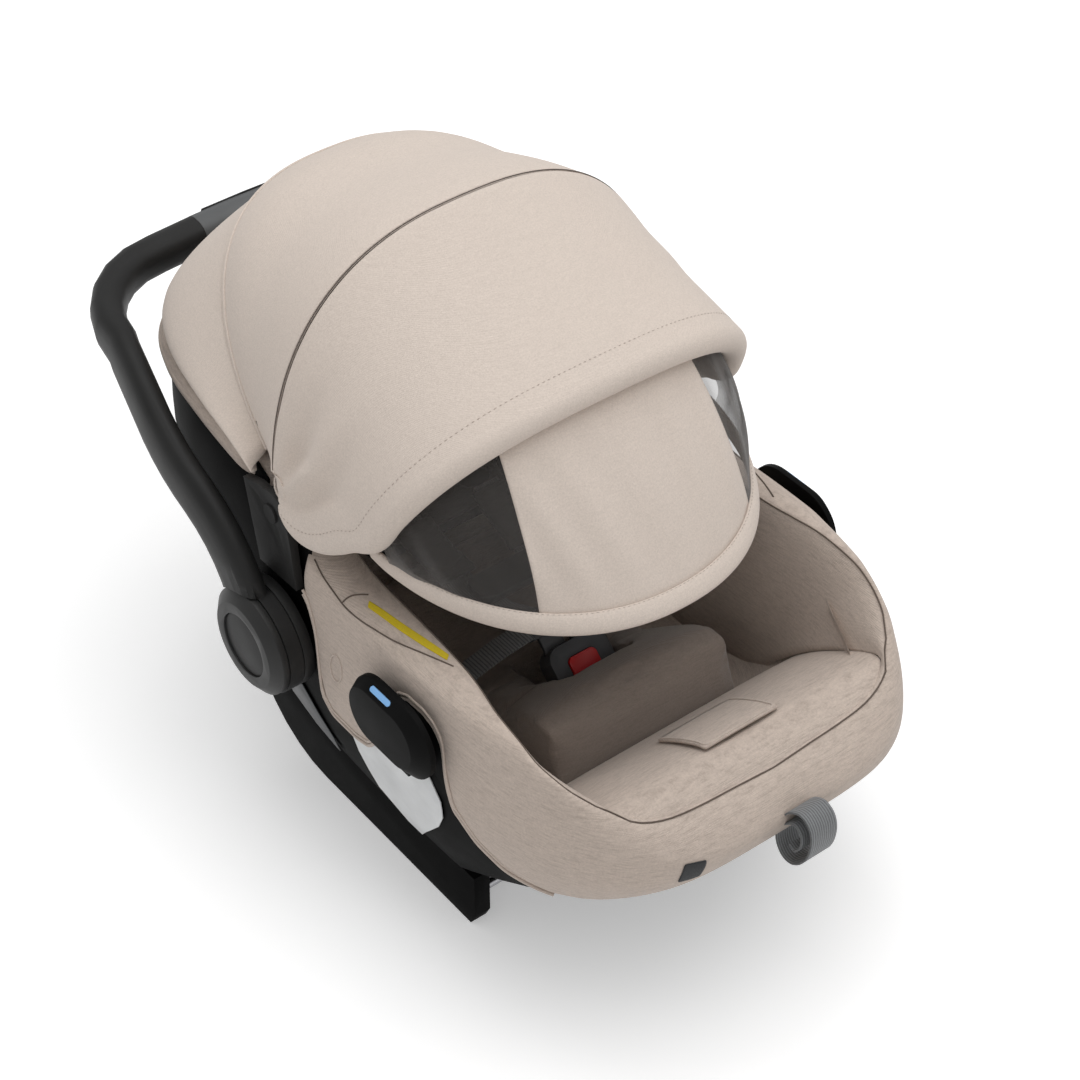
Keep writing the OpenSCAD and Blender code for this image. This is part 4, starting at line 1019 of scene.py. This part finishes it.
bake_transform(hem_stitches)
visor_stitch = [point(*p) for p in hem_rows[1]]
dress(stitches("visor_hem_stitches", close_to(visor_stitch, [visor_hem], 0.1 * MM), 2.6, 1.4, 0.35),
      "visor", THREAD, "canopy")
print("seams ready")

# %% [markdown]
# ## Seat cover
# The cover is quilted cloth over foam. It is drawn as one ring of cross-sections: up the
# outside from its piped hem, over the padded rim to a sewn seam, and down the inner wall
# to the crease where the pads lie. A few heights along the side are enough for each edge.
# The CAD solid has much the same shape, but its flat triangles would show on such a big soft
# form, and a swept ring stays smooth after one subdivision.

# %% The cover's outline and its heights
HALF_W, FOOT, HEAD = 186.0, 314.0, 322.0
PIPING_END = 44
MIDDLE_Y = -60
RIM_KEYS = [(-316, 205), (-285, 222), (-245, 249), (-200, 267), (-140, 275), (-50, 272),
            (10, 279), (50, 294), (90, 322), (130, 342), (200, 350), (330, 353)]
HEM_KEYS = [(-330, 176), (-318, 170), (-306, 158), (-285, 147), (-245, 140), (-200, 146),
            (-172, 160), (-148, 182), (-138, 206), (-131, 232), (-122, 242), (-108, 247),
            (-88, 247), (-76, 240), (-66, 218), (-56, 182), (-44, 164), (-26, 158), (6, 158),
            (17, 168), (22, 192), (25, 222), (34, 248), (50, 262), (62, 282), (90, 308),
            (130, 326), (200, 336), (330, 339)]


def between(y, keys):
    """The value of a table of keys at place y."""
    for (y0, a), (y1, b) in zip(keys, keys[1:]):
        if y <= y1:
            return a + (b - a) * max(0.0, y - y0) / (y1 - y0)
    return keys[-1][1]


def ease(value):
    """A soft step from 0 to 1."""
    c = min(max(value, 0.0), 1.0)
    return c * c * (3 - 2 * c)


def belly(y):
    """Height of the shell's underside."""
    if y < -112:
        return 22 + 0.62 * (-112 - y)
    return 22 + 0.0039 * max(0.0, y - 60) ** 2


print("rim at the middle:", between(0, RIM_KEYS), "underside:", belly(0))

# %% Places on the cover's wall


def plan(t, grow):
    """A point of the plan outline in direction t, moved outwards by grow."""
    c, s, n = math.cos(t), math.sin(t), 3.8 if math.sin(t) < 0 else 4.9
    narrow = 1.0 if s < 0 else 1 - 0.06 * s * s
    return ((HALF_W + grow) * narrow * power(c, n), ((FOOT if s < 0 else HEAD) + grow) * power(s, n))


def wall_point(t, v, grow, rise=0.0):
    """A point of the cover at height share v of the wall."""
    x, y = plan(t, grow)
    share = (1 - (1 - v) ** 4.5) ** (1 / 4.5) * (1 - 0.06 * (1 - v))
    qx, qy = x * share, y * share
    lean = 1 - 13 / HALF_W * max(0.0, (v - 0.62) / 0.38)
    low = belly(qy)
    return Vector((qx * lean, qy, low + (between(y, RIM_KEYS) - low) * v + rise))


def hem_share(y):
    """Share of the wall's height at which the cover's hem runs."""
    low = belly(y * 0.98)
    return (between(y, HEM_KEYS) - low) / (between(y, RIM_KEYS) - low)


def side_turn(y):
    """Direction of the outline's point at place y, on the right side."""
    return -math.asin((-y / FOOT) ** 1.9) if y < 0 else math.asin((y / HEAD) ** 2.45)


sides = [side_turn(-246 + 488 * i / 81) for i in range(82)]
turns = sides + [math.radians(38 + 104 * i / 22) for i in range(23)]
turns += [math.pi - t for t in reversed(sides)] + [math.radians(226 + 88 * i / 26) for i in range(27)]
print("directions of the cover:", len(turns))

# %% [markdown]
# Two loops run round inside the rim: the sewn seam on top, and the crease below, where the
# inner wall meets the pads. One side is written down and the other is its mirror image.
# Both are kept as directions from the middle, so a section can ask where it meets them.

# %% Seam and crease loops
seam_side = [(131, -267, 242), (141, -257, 248), (149, -246, 254), (155, -231, 261), (159, -214, 267),
             (159, -198, 273), (157, -166, 278), (152, -141, 280), (148, -116, 280), (145, -80, 280),
             (143, -40, 280), (142, 10, 284), (141, 60, 304), (139, 100, 330), (136, 150, 346),
             (128, 220, 354), (112, 268, 357), (60, 288, 358)]
foot_seam = [(-124, -276, 237), (-112, -282, 232), (-93, -287, 229), (-66, -289, 227),
             (-33, -290, 226), (0, -291, 225), (33, -290, 226), (66, -289, 227), (93, -287, 229),
             (112, -282, 232), (124, -276, 237)]
crease_side = [(131, -264, 238), (132, -247, 230), (132, -221, 212), (132, -194, 191), (132, -167, 165),
               (132, -145, 140), (132, -128, 119), (131, -90, 106), (129, -40, 104), (128, 20, 116),
               (126, 90, 168), (122, 150, 214), (112, 210, 262), (96, 250, 300), (50, 268, 318)]
foot_crease = [(-122, -272, 235), (-108, -277, 229), (-90, -281, 226), (-50, -283, 223), (0, -284, 222),
               (50, -283, 223), (90, -281, 226), (108, -277, 229), (122, -272, 235)]


def loop_of(side, foot):
    """A closed loop from one side's points and the foot's, sorted by direction from the middle."""
    left = [(-x, y, z) for x, y, z in side]
    line = through(list(side) + list(reversed(left)) + list(foot), 6, closed=True)
    return sorted((math.atan2(p.y - MIDDLE_Y, p.x), p) for p in line)


def on_loop(loop, p):
    """Where a loop passes the direction of place p."""
    a = math.atan2(p.y - MIDDLE_Y, p.x)
    for k in range(len(loop)):
        if loop[k][0] >= a:
            break
    one, two = loop[k - 1], loop[k]
    span = (two[0] - one[0]) % (2 * math.pi)
    return one[1].lerp(two[1], min(max(((a - one[0]) % (2 * math.pi)) / max(span, 1e-9), 0), 1))


seam_loop = loop_of([Vector(p) for p in seam_side], foot_seam)
crease_loop = loop_of([Vector(p) for p in crease_side], foot_crease)
print("places on the seam loop:", len(seam_loop))

# %% [markdown]
# One cross-section is swept round the seat. Its first places climb the outer wall from the
# hem, the next ones round the padded rim, and the last ones go down inside. The ring is
# then closed, subdivided once and given the thickness of cloth.

# %% The cover's ring


def cross_section(t):
    """The cover's places at direction t, from the hem over the rim down to the crease."""
    y = plan(t, 0)[1]
    v0 = hem_share(y)
    inset = 9.0 * ease((y - PIPING_END) / 5) * ease((124 - y) / 8)
    places = []
    for f in (0, 0.025, 0.07, 0.16, 0.3, 0.44, 0.58, 0.72, 0.84, 0.93):
        v = v0 + (1 - v0) * f
        puff = 1.6 * math.sin(math.pi * min(1, f * 1.05)) + (0 if f else -1.2)
        places.append(wall_point(t, v, 6.2 + puff - inset, -5 * f * f))
    edge = wall_point(t, 1, 5.2 - inset, -2.5)
    seam = on_loop(seam_loop, edge)
    crease = on_loop(crease_loop, edge)
    for f in (0, 0.2, 0.42, 0.64, 0.84, 0.95):
        p = edge.lerp(seam, f)
        p.z += 5.2 * math.sin(math.pi * min(1, 0.06 + 0.97 * f)) ** 0.8
        places.append(p)
    seam_place = seam + Vector((0, 0, -1.6))
    places.append(seam_place)
    inward = Vector((-seam.x, MIDDLE_Y - seam.y, 0)).normalized()
    deep = min(1.0, (seam - crease).length / 40)
    for f in (0.05, 0.14, 0.28, 0.45, 0.62, 0.8, 1.0):
        p = seam.lerp(crease, f) + inward * (6.0 * deep * math.sin(math.pi * f ** 0.7))
        p.z += 3.0 * deep * math.sin(math.pi * min(1, f * 1.6))
        places.append(p)
    return places


sections = [cross_section(t) for t in turns + turns[:1]]
cover = grid_sheet("seat_cover_cloth", [list(row) for row in zip(*sections)], 0.0, 0)
join_ends(cover)
top_face = max(cover.data.polygons, key=lambda face: face.center.z)
if top_face.normal.z < 0:
    edit(cover, bpy.ops.mesh.flip_normals)
apply(cover, "SUBSURF", levels=1, render_levels=1)
apply(cover, "SOLIDIFY", thickness=2.4 * MM, offset=-1.0)
dress(cover, "seat", SEAT_CLOTH, "melange", "seat_cover")
print("cover faces:", len(cover.data.polygons))

# %% [markdown]
# Behind the rear seam a skirt closes the gap between the canopy and the head end. It bulges
# over the rim like a stretched stocking. A straight sheet between its two edges would look
# like card, so each row is pushed outwards, most of all in the middle.

# %% Skirt from the canopy's rear seam down to the rim
rows = []
first_turn = side_turn(104)
for j in range(9):
    f = j / 8
    row = []
    for i in range(49):
        share = i / 48
        low_place = wall_point(first_turn + (math.pi - 2 * first_turn) * share, 1, 1.5, 4.5)
        high_place = bow_point(BOW_FROM + BOW_SPAN * share, SEAM_REACH - 1.5, SEAM_ANGLE - 0.6, 165)
        p = low_place.lerp(high_place, f)
        out = Vector((p.x / 176, (p.y - 120) / 170, (p.z - 330) / 130)).normalized()
        bulge = (12 + math.sin(math.pi * share)) * math.sin(math.pi * f ** 0.55)
        row.append(p + out * bulge)
    rows.append(row)
skirt = grid_sheet("head_skirt_cloth", rows, 1.6, 1, (0, 120, 300))
dress(skirt, "seat", CANOPY_CLOTH, "canopy", "head_skirt")
declare(skirt, rows)

# %% [markdown]
# Under the cover lie the foam and the lining. They come from the CAD frame and are tucked
# down behind the cover's rounded inner wall, so that neither shows through it.

# %% Foam and lining under the cover


def tucked(obj, pull=0.0):
    """Draws a bowl's upper part outwards and down, so it keeps behind the cover's inner wall.

    With a pull, the outside of the head end comes in as it comes down, to stay in the shell."""
    for vertex in obj.data.vertices:
        if vertex.co.z > 0.1:
            middle = point(0, MIDDLE_Y, vertex.co.z / MM) - vertex.co
            head = pull * ease((vertex.co.y - 0.02) / 0.06)
            down = 0.13 * (vertex.co.z - 0.1)
            if vertex.normal.dot(middle) > 0:
                push = (10 - 12 * head) * MM
                vertex.co -= middle.normalized() * push * ease((vertex.co.z - 0.1) / 0.06)
            else:
                vertex.co += middle.normalized() * head * down
            vertex.co.z -= down
    return obj


foam = tucked(copy_of("foam_liner", "foam_liner_shown"), 0.6)
dress(foam, "seat", FOAM, "foam", "foam_liner")
lining = tucked(copy_of("seat_lining", "seat_lining_shown"))
lining.scale = (0.985, 1, 1)
only(lining)
bpy.ops.object.transform_apply(location=False, rotation=False, scale=True)
edit(lining, lambda: bpy.ops.mesh.tris_convert_to_quads(face_threshold=0.9, shape_threshold=0.9))
dress(smooth(lining), "seat", SEAT_CLOTH, "melange", "seat_lining")
print("foam faces:", len(foam.data.polygons), "lining faces:", len(lining.data.polygons))

# %% [markdown]
# The raised pad at the foot is lower at its edges, with a dip in the middle under a small
# flap. It is written as two heights, along the middle and at the edges, and each row is
# filled in between them. The flap is hinged on the side towards the seat, and hides the
# adjuster's button.

# %% Foot pad
PAD_TOP = [(-291, 223), (-288, 226), (-283, 229.5), (-276, 232.5), (-267, 234.5), (-257, 234),
           (-247, 230), (-236, 223.5), (-224, 215.5), (-212, 207), (-200, 198), (-188, 187.5),
           (-176, 176), (-166, 164), (-158, 152), (-154, 140), (-152, 124)]
PAD_HALF = [(-291, 60), (-288, 92), (-283, 110), (-276, 121), (-267, 129), (-257, 132.5), (-240, 134),
            (-152, 133)]
rows = []
for y, top in PAD_TOP:
    half = between(y, PAD_HALF)
    edge_z = between(y, [(-291, 223), (-283, 230), (-265, 240), (-247, 231), (-221, 213), (-194, 192),
                         (-167, 166), (-152, 132)])
    row = []
    for i in range(37):
        u = 1 - 2 * i / 36
        blend = abs(u) ** 5
        hole = 3.5 * math.exp(-((abs(u) * half) / 30) ** 4) * math.exp(-((y + 240) / 14) ** 4)
        row.append(Vector((half * u, y, top * (1 - blend) + (edge_z - 1.5) * blend - hole)))
    rows.append(row)
foot_pad = grid_sheet("foot_pad_cloth", rows, 2.0, 1, (0, -220, -300))
dress(foot_pad, "seat", SEAT_CLOTH, "melange", "foot_pad")
print("foot pad faces:", len(foot_pad.data.polygons))

# %% Flap over the strap's adjuster
FLAP_HALF = 35.5
FLAP_LINE = [(-254.5, 236.8), (-250, 235.6), (-242, 231.8), (-232, 225.6), (-220, 217.5),
             (-210, 210), (-201, 202)]
FLAP_US = [1 - i / 9 for i in range(19)]
rows = []
for y, z in FLAP_LINE:
    rows.append([Vector((FLAP_HALF * u, y, z + 0.9 - 0.5 * u ** 2)) for u in FLAP_US])
flap = grid_sheet("strap_flap_cloth", rows, 2.2, 1, (0, -220, -300))
dress(flap, "strap_flap", SEAT_CLOTH, "melange", "adjuster_flap")
declare(flap, rows)
flap_edge = [(-34, -204, 205.3), (-33.6, -225, 222), (-33.2, -242, 232.5), (-32, -251.8, 237.2),
             (-16, -252.4, 237.9), (0, -252.6, 238), (16, -252.4, 237.9), (32, -251.8, 237.2),
             (33.2, -242, 232.5), (33.6, -225, 222), (34, -204, 205.3)]
flap_line = close_to(through([point(*p) for p in flap_edge], 8), [flap], 0.1 * MM)
dress(tube("flap_edging", [p + Vector((0, 0, 0.2)) * MM for p in flap_line], 0.9 * MM), "strap_flap",
      PIPING_CLOTH, "melange")
print("flap faces:", len(flap.data.polygons))

# %% [markdown]
# The cover's hem is finished with two cords of piping on each side. They follow the same
# heights as the hem, from the foot round the belt guides to the canopy's bracket. Since
# the same function gives both, the cords always lie on the cover's edge.

# %% Piping along the cover's lower edge
PIPING_RADII = (1.6, 1.2)
for label, side_turns in (("right", sides), ("left", [math.pi - t for t in sides])):
    line = []
    for t in side_turns:
        y = plan(t, 0)[1]
        if y <= PIPING_END:
            v0 = hem_share(y)
            line.append((wall_point(t, v0, 6.6), wall_point(t, v0, 7.0, 4.4)))
    for k, radius in enumerate(PIPING_RADII):
        cord = through([point(*pair[k]) for pair in line], 3)
        cord_piece = tube("hem_piping_" + label + "_" + str(k + 1), cord, radius * MM)
        dress(cord_piece, "seat", PIPING_CLOTH, "melange")
print("cords on each side:", len(PIPING_RADII))

# %% [markdown]
# A seam reads as a thin dark line where two cloths meet. Each is a fine tube whose dark
# colour is painted shade, the shadow in the seam's groove. Its places are first moved onto
# the cover, so that part of it is sunk in the cloth. That way a seam may be written down
# roughly and still lies true.

# %% Sewn seams of the cover
# Painted shade: this dark colour stands in for the shadow in each seam's groove.
SEAM_PAINTED_SHADE = cloth("seam_shadow", (0.13, 0.10, 0.082), 0.1, 0.0, 0.0005, 0.1, 0.3)
seam_ring = [on_loop(seam_loop, wall_point(t, 1, 5.2)) for t in turns + turns[:1]]
seam_ring = [point(*p) for p in seam_ring if p.y < 60]
side_curve = [(174, 38, 291), (176, 22, 283), (177, -1, 276), (177, -19, 275), (174, -37, 275),
              (170, -61, 277), (162, -91, 281), (155, -112, 282)]
seams = {"side_seam_right": side_curve, "side_seam_left": [(-x, y, z) for x, y, z in side_curve],
         "cross_seam_left": [(-177, -1, 276), (-169, -4, 282), (-160, -12, 284)],
         "cross_seam_right": [(177, -1, 276), (169, -4, 282), (160, -12, 284)]}
lines = {name: through([point(*p) for p in places], 8) for name, places in seams.items()}
right = [p for p in seam_ring if p.x > -0.0001]
left = [p for p in seam_ring if p.x <= 0.0001]
bowl_y = (MIDDLE_Y + SHIFT) * MM
lines["rim_seam_right"] = sorted(right, key=lambda p: math.atan2(p.y - bowl_y, p.x))
lines["rim_seam_left"] = sorted(left, key=lambda p: math.atan2(p.y - bowl_y, -p.x))
lines["rim_seam_left"].insert(0, lines["rim_seam_right"][0])
for name, line in lines.items():
    dress(tube(name, close_to(line, [cover], 0.3 * MM), 0.6 * MM), "seat", SEAM_PAINTED_SHADE, "melange")
print("seams:", len(lines))

# %% [markdown]
# Last come the small pieces: a pressed oval, a bare yellow ribbon, a bare dark tag, and the
# loose end of the adjuster's webbing, which curls up on itself at the foot. The first
# three are laid on the cover, as the seams are. The webbing follows a given line.

# %% Oval mark
oval = [Vector((-187, 7.5 * math.cos(a) - 1.5, 214 + 12.5 * math.sin(a)))
        for a in [2 * math.pi * i / 48 for i in range(48)]]
oval_line = close_to([point(*p) for p in oval], [cover], 0.2 * MM)
dress(tube("side_oval", oval_line, 0.8 * MM, closed=True), "seat", PIPING_CLOTH, "melange")
print("places round the oval:", len(oval_line))

# %% Ribbon and tag


def laid_rows(first, second, across, lift):
    """Rows of places from one line to another, each laid on the cover."""
    rows = []
    for one, two in zip(first, second):
        straight = [point(*one.lerp(two, k / across)) for k in range(across + 1)]
        places = close_to(straight, [cover], lift * MM)
        rows.append([p / MM - Vector((0, SHIFT, 0)) for p in places])
    return rows


strip_top = through([(-163, -17, 283), (-160, -33, 283), (-156, -59, 282), (-153, -80, 282),
                     (-150, -100, 282)], 6)
strip_low = through([(-167, -21, 281), (-165, -36, 281), (-162, -61, 281), (-159, -83, 282),
                     (-155, -104, 282)], 6)
strip = grid_sheet("caution_ribbon", laid_rows(strip_top, strip_low, 4, 0.8), 0.6, 1, (-150, -60, 200))
dress(strip, "seat", YELLOW_CLOTH, "yellow", "caution_strip")
tag_a, tag_b, tag_c, tag_d = (Vector(p) for p in (
    (-101, -312, 205), (-84, -317, 203), (-88, -318, 182), (-105, -311, 184)))
rows = laid_rows([tag_a.lerp(tag_d, i / 6) for i in range(7)],
                 [tag_b.lerp(tag_c, i / 6) for i in range(7)], 6, 1.0)
tag = grid_sheet("foot_tag_cloth", rows, 0.8, 1, (0, -100, 200))
declare(tag, rows)
dress(tag, "seat", DARK_TAG, "tag", "foot_tag")
print("ribbon faces:", len(strip.data.polygons), "tag faces:", len(tag.data.polygons))

# %% Webbing loop
LOOP_YZ = [(-316, 203), (-322, 211), (-333, 217), (-343, 212), (-347, 200), (-345, 183), (-338, 169),
           (-328, 161), (-318, 162), (-311, 172), (-311, 184), (-318, 196), (-328, 203), (-336, 198),
           (-337, 186), (-331, 176), (-324, 178)]
BELT_WIDTH = 25
loop_line = through([(0, y, z) for y, z in LOOP_YZ], 4)
rows = [[Vector((BELT_WIDTH * (0.5 - k / 6), p.y, p.z)) for k in range(7)] for p in loop_line]
webbing_loop = grid_sheet("strap_loop", rows, 1.4, 1, (0, -328, 188))
declare(webbing_loop, rows)
dress(webbing_loop, "seat", WEBBING, "webbing", "adjuster_strap")
print("loop faces:", len(webbing_loop.data.polygons))

# %% [markdown]

# %% The end
import json
